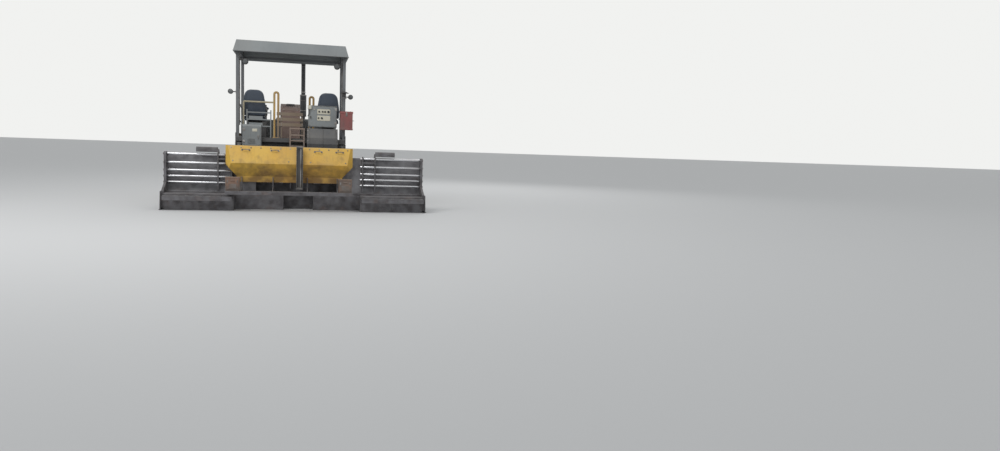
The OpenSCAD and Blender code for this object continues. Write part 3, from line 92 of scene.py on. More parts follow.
camera = new_object("camera", bpy.data.cameras.new("camera"))
camera.data.lens = FOCAL_LENGTH
camera.data.sensor_width = SENSOR_WIDTH
camera.data.clip_end = SEES_AS_FAR_AS
camera.matrix_world = Matrix.Translation(CAMERA_AT) @ camera_turn(HEADING, TILT, ROLL).to_4x4()
bpy.context.scene.camera = camera
bpy.context.scene.view_settings.view_transform = "Standard"
print("camera looks along", [round(v, 3) for v in -camera.matrix_world.col[2].xyz])

# %% [markdown]
# Light and finishes are built from shader nodes. Each input of a node gets either a plain value
# or a link from another node's output, and these helpers do both in one way.

# %% Node helpers
def link(tree, source, target):
    tree.links.new(source, target)


def feed(tree, value, socket):
    """Links value to the socket where it is another node's output, or else sets it."""
    if isinstance(value, bpy.types.NodeSocket):
        link(tree, value, socket)
    else:
        socket.default_value = value


def feed_all(tree, node, inputs):
    """Feeds a node's inputs by their names, in which _ stands for a space."""
    for label, value in inputs.items():
        feed(tree, value, node.inputs[label.replace("_", " ")])


def add_node(tree, kind, **inputs):
    node = tree.nodes.new("ShaderNode" + kind)
    feed_all(tree, node, inputs)
    return node


def reckon(tree, operation, a, b=None, clamp=False):
    """A Math node. a and b are numbers or outputs of other nodes."""
    node = add_node(tree, "Math")
    node.operation = operation
    node.use_clamp = clamp
    feed(tree, a, node.inputs[0])
    if b is not None:
        feed(tree, b, node.inputs[1])
    return node.outputs[0]


print("node helpers are ready")

# %% [markdown]
# The day in the photograph is overcast, so the light is soft and comes from the whole sky. A
# world of pale light does most of it, and two wide lamps, the stronger one above and behind, give
# the edges a direction. The camera sees its own backdrop through Light Path, so the backdrop can
# be bright while the metal isn't overlit.

# %% World, lamps and floor
SKY_LIGHT = 0.62
SKY_COLOUR = (0.95, 0.98, 1, 1)
BACKDROP = (0.88, 0.885, 0.87, 1)
FLOOR = (0.60, 0.60, 0.60, 1)
FLOOR_REACH = 600


def soft_sky():
    world = bpy.data.worlds.new("overcast_sky")
    bpy.context.scene.world = world
    world.use_nodes = True
    tree = world.node_tree
    tree.nodes.clear()
    light = add_node(tree, "Background", Color=SKY_COLOUR, Strength=SKY_LIGHT)
    seen = add_node(tree, "Background", Color=BACKDROP)
    path = add_node(tree, "LightPath")
    backdrop_seen = path.outputs["Is Camera Ray"]
    for ray in ("Is Glossy Ray", "Is Transmission Ray"):
        backdrop_seen = reckon(tree, "MAXIMUM", backdrop_seen, path.outputs[ray])
    mix = add_node(tree, "MixShader", Fac=backdrop_seen)
    link(tree, light.outputs[0], mix.inputs[1])
    link(tree, seen.outputs[0], mix.inputs[2])
    add_node(tree, "OutputWorld", Surface=mix.outputs[0])


def wide_lamp(name, at, aim, size, watts):
    lamp = bpy.data.lights.new(name, "AREA")
    lamp.size = size
    lamp.energy = watts
    holder = new_object(name, lamp)
    holder.location = at
    holder.rotation_euler = (Vector(aim) - Vector(at)).to_track_quat("-Z", "Y").to_euler()


def pale_floor():
    mesh = bpy.data.meshes.new("floor")
    r = FLOOR_REACH
    mesh.from_pydata([(-r, -r, 0), (r, -r, 0), (r, r, 0), (-r, r, 0)], [], [(0, 1, 2, 3)])
    floor = new_object("floor", mesh)
    material = bpy.data.materials.new("pale_floor")
    material.use_nodes = True
    shader = material.node_tree.nodes["Principled BSDF"]
    shader.inputs["Base Color"].default_value = FLOOR
    shader.inputs["Roughness"].default_value = 0.9
    mesh.materials.append(material)


soft_sky()
wide_lamp("high_behind", at=(-5, -9, 10), aim=(0, -1, 1), size=7, watts=620)
wide_lamp("high_ahead", at=(7, 9, 9), aim=(0, 1, 1), size=7, watts=320)
pale_floor()
print("sky, two lamps and floor")

# %% [markdown]
# Site machines are never one clean colour. Paint wears off at edges, pale dust settles on what
# faces up, fresh asphalt splashes what is low, and rain draws streaks down the walls. Each effect
# serves several finishes, so each is a node group with named inputs, built once. Masks are made
# from noise in the object's own coordinates, which stay put when a joint moves.

# %% Shader groups: helpers
def new_group(name, inputs, outputs):
    """An empty node group. inputs are (name, value), outputs are names of plain numbers."""
    tree = bpy.data.node_groups.new(name, "ShaderNodeTree")
    for label, value in inputs:
        socket = tree.interface.new_socket(label, in_out="INPUT", socket_type="NodeSocketFloat")
        socket.default_value = value
    for label in outputs:
        tree.interface.new_socket(label, in_out="OUTPUT", socket_type="NodeSocketFloat")
    print("node group", name, "with", [label for label, value in inputs])
    return tree, tree.nodes.new("NodeGroupInput"), tree.nodes.new("NodeGroupOutput")


def spread(tree, value, low, high):
    """value stretched so that low gives 0 and high gives 1."""
    return add_node(tree, "MapRange", Value=value, From_Min=low, From_Max=high).outputs[0]


def own_coordinates(tree):
    return add_node(tree, "TexCoord").outputs["Object"]


def noise(tree, scale, detail, stretch=(1, 1, 1)):
    """Noise over the object's own coordinates, stretched per axis."""
    squeeze = add_node(tree, "Mapping", Scale=stretch, Vector=own_coordinates(tree))
    at = squeeze.outputs["Vector"]
    return add_node(tree, "TexNoise", Detail=detail, Scale=scale, Vector=at).outputs["Fac"]


def upward_part(tree):
    """How far the surface faces up, from -1 to 1."""
    normal = add_node(tree, "NewGeometry").outputs["Normal"]
    return add_node(tree, "SeparateXYZ", Vector=normal).outputs["Z"]


def height_above_ground(tree):
    return add_node(tree, "SeparateXYZ", Vector=own_coordinates(tree)).outputs["Z"]


print("helpers for the masks are ready")

# %% [markdown]
# Edge wear compares the surface's normal with the one that a rounded edge would have. They agree
# on flats and part at edges, so their difference is a mask. The pointiness of the mesh could give
# it too, but a CAD mesh has large faces and few vertices, where pointiness finds nothing.

# %% Edge wear
def edge_wear_group():
    inputs = [("Width", 0.01), ("Amount", 0.6), ("Scale", 14.0)]
    tree, given, result = new_group("edge_wear", inputs, ["Mask"])
    rounded = add_node(tree, "Bevel", Radius=given.outputs["Width"])
    rounded.samples = 4
    shape = add_node(tree, "NewGeometry")
    facing = add_node(tree, "VectorMath")
    facing.operation = "DOT_PRODUCT"
    link(tree, rounded.outputs["Normal"], facing.inputs[0])
    link(tree, shape.outputs["Normal"], facing.inputs[1])
    edge = spread(tree, reckon(tree, "SUBTRACT", 1.0, facing.outputs["Value"]), 0.01, 0.14)
    patchy = spread(tree, noise(tree, given.outputs["Scale"], 6), 0.42, 0.62)
    worn = reckon(tree, "MULTIPLY", edge, patchy)
    worn = reckon(tree, "MULTIPLY", worn, given.outputs["Amount"], clamp=True)
    link(tree, worn, result.inputs["Mask"])
    return tree


EDGE_WEAR = edge_wear_group()

# %% [markdown]
# Dust lies thick on what faces up, thin on walls and hardly at all underneath. Where it lies is
# broken up by noise at two scales, because wind and use move it about.

# %% Dust
def dust_group():
    inputs = [("On top", 0.6), ("On walls", 0.2), ("Scale", 2.2)]
    tree, given, result = new_group("dust_film", inputs, ["Mask"])
    lies = spread(tree, upward_part(tree), 0.1, 0.85)
    drift = spread(tree, noise(tree, given.outputs["Scale"], 6), 0.32, 0.68)
    fine = spread(tree, noise(tree, 38.0, 3), 0.25, 0.75)
    broad = reckon(tree, "MULTIPLY", drift, 0.7)
    cover = reckon(tree, "ADD", broad, reckon(tree, "MULTIPLY", fine, 0.3))
    cover = reckon(tree, "ADD", cover, 0.25)  # a film that is left even where the noise is low
    top = reckon(tree, "MULTIPLY", lies, given.outputs["On top"])
    upright = reckon(tree, "SUBTRACT", 1.0, lies)
    wall = reckon(tree, "MULTIPLY", upright, given.outputs["On walls"])
    total = reckon(tree, "MULTIPLY", reckon(tree, "ADD", top, wall), cover, clamp=True)
    link(tree, total, result.inputs["Mask"])
    return tree


DUST = dust_group()

# %% [markdown]
# Hot mix sticks to whatever is near the ground and turns it brown-black. The mask falls off with
# height above the ground, and noise gives it a ragged upper edge with separate specks.

# %% Asphalt splash
def splash_group():
    inputs = [("Thick below", 0.3), ("Gone above", 1.0), ("Scale", 5.0)]
    tree, given, result = new_group("asphalt_splash", inputs, ["Mask"])
    thick, gone = given.outputs["Thick below"], given.outputs["Gone above"]
    cloud = reckon(tree, "SUBTRACT", noise(tree, given.outputs["Scale"], 8), 0.5)
    ragged = reckon(tree, "MULTIPLY", cloud, 1.1)
    height = reckon(tree, "ADD", height_above_ground(tree), ragged)
    low = spread(tree, height, gone, thick)
    specks = spread(tree, noise(tree, 60.0, 2), 0.66, 0.72)
    specks_end = reckon(tree, "ADD", gone, 0.5)  # specks fly half a metre higher
    speckled = reckon(tree, "MULTIPLY", specks, spread(tree, height, specks_end, thick))
    link(tree, reckon(tree, "MAXIMUM", low, speckled, clamp=True), result.inputs["Mask"])
    return tree


SPLASH = splash_group()

# %% [markdown]
# Rain and cleaning oil leave faint streaks down the walls. Noise that is stretched along Z draws
# them, and they are kept off what faces up.

# %% Streaks
def streak_group():
    tree, given, result = new_group("rain_streaks", [("Amount", 0.5), ("Scale", 3.0)], ["Mask"])
    runs = spread(tree, noise(tree, given.outputs["Scale"], 6, (5, 5, 0.35)), 0.5, 0.74)
    runs = reckon(tree, "MULTIPLY", runs, spread(tree, noise(tree, 1.6, 4), 0.42, 0.6))
    wall = reckon(tree, "SUBTRACT", 1.0, reckon(tree, "ABSOLUTE", upward_part(tree)), clamp=True)
    runs = reckon(tree, "MULTIPLY", runs, wall)
    runs = reckon(tree, "MULTIPLY", runs, given.outputs["Amount"], clamp=True)
    link(tree, runs, result.inputs["Mask"])
    return tree


STREAKS = streak_group()

# %% [markdown]
# Sprayed paint has a fine orange skin and plate is never quite flat. A height made of one fine
# and one broad noise feeds each material's Bump node.

# %% Surface height
def skin_group():
    inputs = [("Grain", 0.3), ("Dents", 0.7), ("Fineness", 220.0)]
    tree, given, result = new_group("sheet_skin", inputs, ["Height"])
    fine = noise(tree, given.outputs["Fineness"], 3)
    grain = reckon(tree, "MULTIPLY", fine, given.outputs["Grain"])
    dents = reckon(tree, "MULTIPLY", noise(tree, 6.0, 2), given.outputs["Dents"])
    link(tree, reckon(tree, "ADD", grain, dents), result.inputs["Height"])
    return tree


SKIN = skin_group()

# %% [markdown]
# A finish is laid up in layers, each blended over the one below by its mask. Colours are written
# as they look on screen, from 0 to 255, and changed to Blender's linear scale.

# %% Finishes: colours and layers
def linear(*rgb):
    """A screen colour, 0 to 255, as Blender's linear RGBA."""
    parts = [c / 255 for c in rgb]
    return [c / 12.92 if c <= 0.04045 else ((c + 0.055) / 1.055) ** 2.4 for c in parts] + [1]


ASPHALT = (66, 62, 61)
DUST_COLOUR = linear(150, 146, 140)
ASPHALT_COLOUR = linear(*ASPHALT)
BARE_STEEL = linear(118, 112, 106)


def place(tree, group, **values):
    """A group placed in a material, with its own values. Returns its first output."""
    node = add_node(tree, "Group")
    node.node_tree = group
    feed_all(tree, node, values)
    return node.outputs[0]


def blend_colour(tree, share, under, over):
    """over laid on under where share is 1. Colours are RGBA lists or outputs."""
    node = add_node(tree, "Mix")
    node.data_type = "RGBA"
    feed(tree, share, node.inputs["Factor"])
    feed(tree, under, node.inputs[6])  # A and B as colours come after the two as numbers
    feed(tree, over, node.inputs[7])
    return node.outputs[2]


def bump(tree, shader, height, strength, distance=0.002):
    node = add_node(tree, "Bump", Strength=strength, Distance=distance, Height=height)
    link(tree, node.outputs["Normal"], shader.inputs["Normal"])


def start_material(name):
    material = bpy.data.materials.new(name)
    material.use_nodes = True
    tree = material.node_tree
    return material, tree, tree.nodes["Principled BSDF"]


def dress(tree, shader, colour, rough, metal=0.0):
    feed_all(tree, shader, dict(Base_Color=colour, Roughness=rough, Metallic=metal))


def spread_between(tree, share, low, high):
    """low where share is 0, high where it is 1."""
    return add_node(tree, "MapRange", Value=share, To_Min=low, To_Max=high).outputs[0]


print("dust, as a linear colour:", [round(c, 3) for c in DUST_COLOUR])

# %% [markdown]
# Every painted piece is the same build: a paint colour that varies a little, bare steel where the
# edges are worn, dust on top, asphalt low down. One function makes them all, and each finish only
# gives its own colours and amounts.

# %% Painted finishes
def painted(name, colour, shade, rough, walls, top=0.55, low=(0.25, 0.9), wear=0.6, streaks=0.35,
            splash=ASPHALT):
    """Worn machine paint. shade is the paint where it is sun-faded or stained, top and walls are
    the dust on them, low is where the asphalt is thick below and gone above."""
    material, tree, shader = start_material(name)
    splash = linear(*splash)
    drift = spread(tree, noise(tree, 1.3, 5), 0.35, 0.7)
    paint = blend_colour(tree, drift, linear(*colour), linear(*shade))
    streaked = blend_colour(tree, place(tree, STREAKS, Amount=streaks), paint, splash)
    wear_mask = place(tree, EDGE_WEAR, Amount=wear)
    worn = blend_colour(tree, wear_mask, streaked, BARE_STEEL)
    splash_mask = place(tree, SPLASH, Thick_below=low[0], Gone_above=low[1])
    splashed = blend_colour(tree, reckon(tree, "MULTIPLY", splash_mask, 0.85), worn, splash)
    dust_mask = place(tree, DUST, On_top=top, On_walls=walls)
    dusty = blend_colour(tree, dust_mask, splashed, DUST_COLOUR)
    dull = reckon(tree, "MAXIMUM", dust_mask, splash_mask)
    clean = reckon(tree, "SUBTRACT", 0.8, dull)
    bare = reckon(tree, "MULTIPLY", wear_mask, clean, clamp=True)
    dress(tree, shader, dusty, spread_between(tree, dull, rough, 0.92), bare)
    crust = reckon(tree, "MULTIPLY", splash_mask, noise(tree, 90.0, 4))
    bump(tree, shader, reckon(tree, "ADD", place(tree, SKIN), crust), 0.35)
    return material


PAINTS = {
    "yellow_paint": dict(colour=(232, 184, 66), shade=(214, 164, 58), rough=0.42, walls=0.14,
                         low=(0.2, 0.75), streaks=0.26),
    "grey_paint": dict(colour=(140, 146, 148), shade=(122, 128, 131), rough=0.6, walls=0.2),
    "dark_paint": dict(colour=(74, 79, 84), shade=(62, 65, 70), rough=0.5, walls=0.3),
    "black_paint": dict(colour=(58, 60, 64), shade=(70, 71, 74), rough=0.4, walls=0.22),
    "slate_paint": dict(colour=(104, 109, 114), shade=(88, 92, 97), rough=0.5, walls=0.22,
                        low=(0.2, 0.8)),
    "red_paint": dict(colour=(150, 62, 62), shade=(124, 70, 70), rough=0.55, walls=0.3,
                      streaks=0.5),
    "cover_paint": dict(colour=(232, 186, 70), shade=(218, 166, 60), rough=0.5, walls=0.1, top=0.75,
                        low=(0.60, 1.02), streaks=0.4, splash=(112, 84, 52)),
    "ochre_paint": dict(colour=(196, 152, 62), shade=(168, 132, 66), rough=0.5, walls=0.3),
    "beige_paint": dict(colour=(190, 178, 140), shade=(166, 156, 128), rough=0.55, walls=0.3),
    "cream_plate": dict(colour=(222, 218, 200), shade=(204, 199, 182), rough=0.5, walls=0.15,
                        wear=0.3),
    "dusty_brown": dict(colour=(126, 106, 84), shade=(106, 92, 78), rough=0.8, walls=0.35, top=0.8),
    "dash_skin": dict(colour=(164, 134, 124), shade=(150, 126, 118), rough=0.75, walls=0.3,
                      top=0.7, wear=0.15),
    "pale_primer": dict(colour=(160, 138, 124), shade=(132, 112, 100), rough=0.8, walls=0.3,
                        top=0.5),
    "box_brown": dict(colour=(150, 96, 60), shade=(110, 84, 66), rough=0.8, walls=0.35,
                      low=(0.4, 0.9)),
}
MATERIALS = {finish: painted(finish, **look) for finish, look in PAINTS.items()}
print("painted finishes:", len(MATERIALS))

# %% [markdown]
# Not everything is painted. The guide tubes and cylinder rods are ground and chromed, with a film
# of grease that holds dust. The screed and its footboards are steel that fresh asphalt has dyed
# brown-black, bright only where shoes and mix rub it. These differ in how metallic and how rough
# they are, so each has a short function of its own.

# %% Bare metals
def chromed_rod():
    material, tree, shader = start_material("chrome")
    smear = spread(tree, noise(tree, 3.0, 5, (0.6, 3, 3)), 0.42, 0.74)
    dust_mask = place(tree, DUST, On_top=0.4, On_walls=0.12)
    film = reckon(tree, "MAXIMUM", reckon(tree, "MULTIPLY", smear, 0.55), dust_mask)
    greasy = blend_colour(tree, film, linear(214, 215, 219), linear(112, 104, 98))
    rough = spread_between(tree, film, 0.16, 0.6)
    dress(tree, shader, greasy, rough, spread_between(tree, film, 1.0, 0.35))
    bump(tree, shader, noise(tree, 120.0, 2, (0.1, 1, 1)), 0.08)
    return material


def asphalt_stained(name, clean, dyed):
    """Steel plate dyed by hot mix, rubbed bright on its edges."""
    material, tree, shader = start_material(name)
    crust = spread(tree, noise(tree, 7.0, 8), 0.36, 0.66)
    plate = blend_colour(tree, crust, clean, dyed)
    rust = spread(tree, noise(tree, 4.0, 6), 0.6, 0.78)
    rusty = blend_colour(tree, reckon(tree, "MULTIPLY", rust, 0.5), plate, linear(104, 74, 56))
    wear_mask = place(tree, EDGE_WEAR, Amount=0.8, Width=0.014)
    rubbed = blend_colour(tree, wear_mask, rusty, linear(150, 148, 147))
    dust_mask = place(tree, DUST, On_top=0.45, On_walls=0.16)
    dusty = blend_colour(tree, dust_mask, rubbed, linear(122, 118, 116))
    rough = spread_between(tree, reckon(tree, "MAXIMUM", crust, dust_mask), 0.5, 0.9)
    dress(tree, shader, dusty, rough, reckon(tree, "MULTIPLY", wear_mask, 0.8))
    lumps = reckon(tree, "MULTIPLY", noise(tree, 45.0, 6), crust)
    bump(tree, shader, reckon(tree, "ADD", lumps, place(tree, SKIN, Grain=0.2)), 0.6, 0.004)
    return material


def rubbed_steel():
    """Bare steel kept bright by the mix that slides over it."""
    material, tree, shader = start_material("worn_steel")
    tarnish = spread(tree, noise(tree, 5.0, 7), 0.4, 0.68)
    metal = blend_colour(tree, tarnish, linear(160, 158, 156), linear(92, 84, 78))
    splash_mask = place(tree, SPLASH, Thick_below=0.2, Gone_above=0.7)
    dirty = blend_colour(tree, reckon(tree, "MULTIPLY", splash_mask, 0.6), metal, ASPHALT_COLOUR)
    dust_mask = place(tree, DUST, On_top=0.35, On_walls=0.1)
    dusty = blend_colour(tree, dust_mask, dirty, DUST_COLOUR)
    dull = reckon(tree, "MAXIMUM", reckon(tree, "MAXIMUM", tarnish, splash_mask), dust_mask)
    rough = spread_between(tree, dull, 0.32, 0.75)
    dress(tree, shader, dusty, rough, spread_between(tree, dull, 0.9, 0.25))
    bump(tree, shader, noise(tree, 70.0, 5, (1, 0.15, 1)), 0.2)
    return material


MATERIALS["chrome"] = chromed_rod()
for finish, clean, dyed in (("stained_steel", (104, 103, 107), (74, 71, 73)),
                            ("curtain_steel", (152, 151, 154), (122, 120, 123))):
    MATERIALS[finish] = asphalt_stained(finish, linear(*clean), linear(*dyed))
MATERIALS["worn_steel"] = rubbed_steel()
print("metals: chrome, worn_steel and two kinds of stained steel")

# %% [markdown]
# Rubber, vinyl and moulded housings are dark, but never black: they take up dust in every pore.
# The vinyl has a leather-like grain of small cells, which a Voronoi texture gives, and it shines
# a little. Lamp glass is ribbed, and it looks dark while the lamp is off.

# %% Rubber, vinyl and glass
def grained(name, colour, dusty, rough, cells, strength, top=0.45, walls=0.25):
    """Rubber or plastic with a pressed grain of cells to the metre."""
    material, tree, shader = start_material(name)
    colour = linear(*colour)
    pores = add_node(tree, "TexVoronoi", Scale=cells, Vector=own_coordinates(tree))
    scuff = spread(tree, noise(tree, 4.0, 6), 0.35, 0.7)
    tone = blend_colour(tree, scuff, colour, [c * 1.35 for c in colour[:3]] + [1])
    dust_mask = place(tree, DUST, On_top=top, On_walls=walls)
    held = spread_between(tree, pores.outputs["Distance"], 0.7, 1.1)
    pore_dust = reckon(tree, "MULTIPLY", dust_mask, held, clamp=True)
    covered = blend_colour(tree, pore_dust, tone, linear(*dusty))
    dull = reckon(tree, "MAXIMUM", pore_dust, scuff)
    dress(tree, shader, covered, spread_between(tree, dull, rough, 0.9))
    bump(tree, shader, pores.outputs["Distance"], strength, 0.0015)
    return material


def lamp_glass():
    material, tree, shader = start_material("lamp_glass")
    flutes = add_node(tree, "TexWave", Scale=60, Vector=own_coordinates(tree))
    flutes.bands_direction = "X"
    dust_mask = place(tree, DUST, On_top=0.3, On_walls=0.25)
    dusty = blend_colour(tree, dust_mask, linear(74, 80, 84), DUST_COLOUR)
    dress(tree, shader, dusty, spread_between(tree, dust_mask, 0.12, 0.6))
    shader.inputs["Coat Weight"].default_value = 0.6
    bump(tree, shader, flutes.outputs["Fac"], 0.5, 0.003)
    return material


GRAINED = {
    "rubber": dict(colour=(54, 54, 55), dusty=(112, 106, 100), rough=0.6, cells=150, strength=0.35),
    "vinyl": dict(colour=(66, 75, 88), dusty=(118, 118, 118), rough=0.42, cells=420, strength=0.4,
                  top=0.3, walls=0.16),
    "seat_shell": dict(colour=(58, 67, 80), dusty=(112, 114, 116), rough=0.5, cells=300,
                       strength=0.2, top=0.3, walls=0.16),
    "lamp_shell": dict(colour=(44, 45, 47), dusty=(110, 106, 102), rough=0.5, cells=300,
                       strength=0.2),
}
MATERIALS.update((finish, grained(finish, **look)) for finish, look in GRAINED.items())
MATERIALS["lamp_glass"] = lamp_glass()
print("materials in all:", len(MATERIALS))

# %% [markdown]
# A CAD solid has edges without any radius, and such an edge never catches light. Real plate has
# a millimetre or two of it. Bevelling the meshes by hand would move their vertices, which must
# stay where the joints expect them, so a modifier does it: vertices that lie together are welded,
# then only sharp edges are rounded.

# %% Finish of the CAD nodes
EDGE_RADIUS = {"yellow_paint": 0.005, "grey_paint": 0.004, "chrome": 0.002}
OTHER_EDGES = 0.003
SHARP = math.radians(35)
FINISH = {part["node"]: part["material_slot"] for part in frame["record"]["subparts"]}
FINISH.update(screed_cover="cover_paint", end_boxes="box_brown", rear_rack="pale_primer",
              handrails="ochre_paint", canopy_posts="slate_paint", exhaust_stack="dark_paint")


def round_edges(piece, radius):
    weld = piece.modifiers.new("weld", "WELD")
    weld.merge_threshold = 0.0001
    bevel = piece.modifiers.new("edges", "BEVEL")
    bevel.width = radius
    bevel.segments = 2
    bevel.limit_method = "ANGLE"
    bevel.angle_limit = SHARP
    bevel.use_clamp_overlap = True
    bevel.harden_normals = True


def paint_node(name):
    piece = nodes[name]
    piece.data.materials.clear()
    piece.data.materials.append(MATERIALS[FINISH[name]])
    round_edges(piece, EDGE_RADIUS.get(FINISH[name], OTHER_EDGES))


def repaint(name, finish, wanted):
    """Gives another finish to the faces that pass wanted(centre, normal), and returns how many."""
    mesh = nodes[name].data
    mesh.materials.append(MATERIALS[finish])
    chosen = [face for face in mesh.polygons if wanted(face.center, face.normal)]
    for face in chosen:
        face.material_index = len(mesh.materials) - 1
    return len(chosen)


for node_name in nodes:
    paint_node(node_name)
print("painted", len(nodes), "CAD nodes")

# %% [markdown]
# Some nodes are welded from parts that leave the works in different colours: the cream plates on
# the switch cabinet, the brown slats between the grab rails, the bright strip in the centre
# post. They are one solid, so their faces get a second material by where they lie.

# %% Faces with their own finish
SLATS_LEFT, SLATS_RIGHT, SLATS_TOP, SLATS_BEHIND = -0.32, 0.25, 2.04, -1.44
RAIL_LEFT_OF = -0.37
DASH_LEFT, DASH_RIGHT = -0.27, 0.18
PLATE_FACE_Y = -1.5555
STRIP_LEFT, STRIP_RIGHT = 0.196, 0.220
CURTAIN_REAR, CURTAIN_FRONT, CURTAIN_FOOT = -2.480, -2.430, 0.34


def in_slats(centre, normal):
    between = SLATS_LEFT < centre.x < SLATS_RIGHT
    return between and centre.y < SLATS_BEHIND and centre.z < SLATS_TOP


def in_curtain(centre, normal):
    """The upright plates behind the guide tubes, whose faces get a lighter steel than the screed.
    """
    upright = abs(normal.y) > 0.9 and CURTAIN_REAR < centre.y < CURTAIN_FRONT
    return upright and centre.z > CURTAIN_FOOT


counts = {
    "plates": repaint("control_cabinet", "cream_plate", lambda c, n: c.y < PLATE_FACE_Y),
    "slats": repaint("handrails", "dusty_brown", in_slats),
    "rear rail": repaint("handrails", "beige_paint", lambda c, n: c.x < RAIL_LEFT_OF),
    "dash": repaint("consoles", "dash_skin", lambda c, n: DASH_LEFT < c.x < DASH_RIGHT),
    "post strip": repaint("centre_post", "worn_steel", lambda c, n: STRIP_LEFT < c.x < STRIP_RIGHT),
}
for node_name in ("inner_stage_left", "inner_stage_right", "outer_stage_left", "outer_stage_right"):
    counts[node_name] = repaint(node_name, "curtain_steel", in_curtain)
print("faces repainted:", counts)

# %% [markdown]
# Inside the hopper and the tunnels there is no paint left: hot mix slides over it all day. The
# inner faces of the wings and of the hopper's rear wall become bare, rubbed steel. The shoes carry
# rubber pads, while the chain inside them stays steel. A chain face is found by its width.

# %% Faces rubbed by mix and ground
CHAIN_HALF_W = 0.051
TRACK_X = 0.965
WING_INNER_X, WING_FLOOR_Z, WING_TOP_Z = 0.83, 0.6, 1.47
HOPPER_REAR_Y = 1.3


def inside_wing(side):
    """A test for the faces of a wing that look into the hopper."""
    def wanted(centre, normal):
        inward = -side * normal.x > 0.3 or normal.z > 0.3
        rear = normal.y > 0.9 and centre.y < HOPPER_REAR_Y
        in_hopper = WING_FLOOR_Z < centre.z < WING_TOP_Z and abs(centre.x) > WING_INNER_X
        return (inward or rear) and in_hopper
    return wanted


def hopper_wall(centre, normal):
    return 1.2 < centre.y < HOPPER_REAR_Y and 0.8 < centre.z < 1.32


def feed_plates(centre, normal):
    """The hopper's floor, over the conveyors."""
    return centre.y > 1.26 and 0.49 < centre.z < 0.6 and abs(centre.x) < 0.77


def bare_chain(name, side):
    mesh = nodes[name].data
    mesh.materials.append(MATERIALS["worn_steel"])
    off_centre = [abs(v.co.x - side * TRACK_X) for v in mesh.vertices]
    chain = [face for face in mesh.polygons
             if all(off_centre[i] < CHAIN_HALF_W for i in face.vertices)]
    for face in chain:
        face.material_index = 1
    return len(chain)


rubbed = {
    "wing_left": repaint("wing_left", "worn_steel", inside_wing(-1)),
    "wing_right": repaint("wing_right", "worn_steel", inside_wing(1)),
    "hopper wall": repaint("chassis", "worn_steel", hopper_wall),
    "feed plates": repaint("chassis", "worn_steel", feed_plates),
    "track_left": bare_chain("track_left", -1),
    "track_right": bare_chain("track_right", 1),
}
print("rubbed bright:", rubbed)

# %% [markdown]
# From here on come the small fittings. Each is drawn once as a turned profile, a bevelled block
# or a bent pipe and added to one mesh as often as it is needed. Separate objects for every bolt
# would also work, but hundreds of objects are slow and hard to name.

# %% Fittings: turned shapes, bolts and blocks
AXIS_X, AXIS_Y, UP = Vector((1, 0, 0)), Vector((0, 1, 0)), Vector((0, 0, 1))
BACKWARDS = (0, -1, 0)
EIGHTH_TURN = math.pi / 4
SIDES = (("left", -1), ("right", 1))


def upright_to(axis):
    """The rotation that turns +Z to the given direction."""
    return UP.rotation_difference(Vector(axis).normalized()).to_matrix()


def add_turned(bm, profile, at, axis, sides):
    """A turned shape. profile is (radius, distance along the axis), from one end to the other."""
    turn = upright_to(axis)
    rings = []
    for radius, along in profile:
        ring = []
        for i in range(sides if radius > 0 else 1):
            angle = 2 * math.pi * i / sides
            point = Vector((radius * math.cos(angle), radius * math.sin(angle), along))
            ring.append(bm.verts.new(Vector(at) + turn @ point))
        rings.append(ring)
    for low, high in zip(rings, rings[1:]):
        for i in range(sides):
            j = (i + 1) % sides
            if len(low) == 1:
                bm.faces.new((low[0], high[i], high[j]))
            elif len(high) == 1:
                bm.faces.new((low[j], low[i], high[0]))
            else:
                bm.faces.new((low[i], low[j], high[j], high[i]))


def disc(radius, height):
    """The profile of a flat disc."""
    return [(0, 0), (radius, 0), (radius, height), (0, height)]


def band(inner, outer, half, bevel=0.002):
    """The profile of a band round a pipe, half its width to each side."""
    return [(inner, -half), (outer, bevel - half), (outer, half - bevel), (inner, half)]


def add_bolt(bm, at, axis, size):
    """A hex head on its washer; size is the radius of the head across its corners."""
    head = [(size, size * 0.15), (size, size * 0.75), (size * 0.86, size * 0.9), (0, size * 0.9)]
    add_turned(bm, disc(size * 1.25, size * 0.2), at, axis, 16)
    add_turned(bm, head, at, axis, 6)


def bolt_grid(bm, xs, y, zs, size):
    """Bolts whose heads face the rear, at each x and each z."""
    for x in xs:
        for z in zs:
            add_bolt(bm, (x, y, z), BACKWARDS, size)


def ring_of(count, centre, radius, across, up, first=0.0):
    """count points on a circle; the angle of the first is measured from across towards up."""
    angles = [first + 2 * math.pi * k / count for k in range(count)]
    return [Vector(centre) + radius * (math.cos(a) * across + math.sin(a) * up) for a in angles]


def add_block(bm, low, high, edge):
    """A block with rounded edges."""
    size = Vector(high) - Vector(low)
    middle = (Vector(high) + Vector(low)) / 2
    place_at = Matrix.Translation(middle) @ Matrix.Diagonal((*size, 1))
    made = bmesh.ops.create_cube(bm, size=1, matrix=place_at)
    edges = {e for v in made["verts"] for e in v.link_edges}
    bmesh.ops.bevel(bm, geom=list(edges), offset=min(edge, min(size) * 0.45), segments=2,
                    affect="EDGES", profile=0.6)


print("shapes: turned, bolt and block")

# %% [markdown]
# Handles and hoses are pipes along a path. Plates and pads are slabs over a flat loop, and layers
# of different insets give them rounded rims. Corners of both are cut off by short curves.

# %% Fittings: pipes and flat loops
def skin_over(bm, rings):
    """Faces between each ring of points and the next, and one over each end."""
    for low, high in zip(rings, rings[1:]):
        for i in range(len(low)):
            j = (i + 1) % len(low)
            bm.faces.new((low[i], low[j], high[j], high[i]))
    bm.faces.new(list(reversed(rings[0])))
    bm.faces.new(rings[-1])


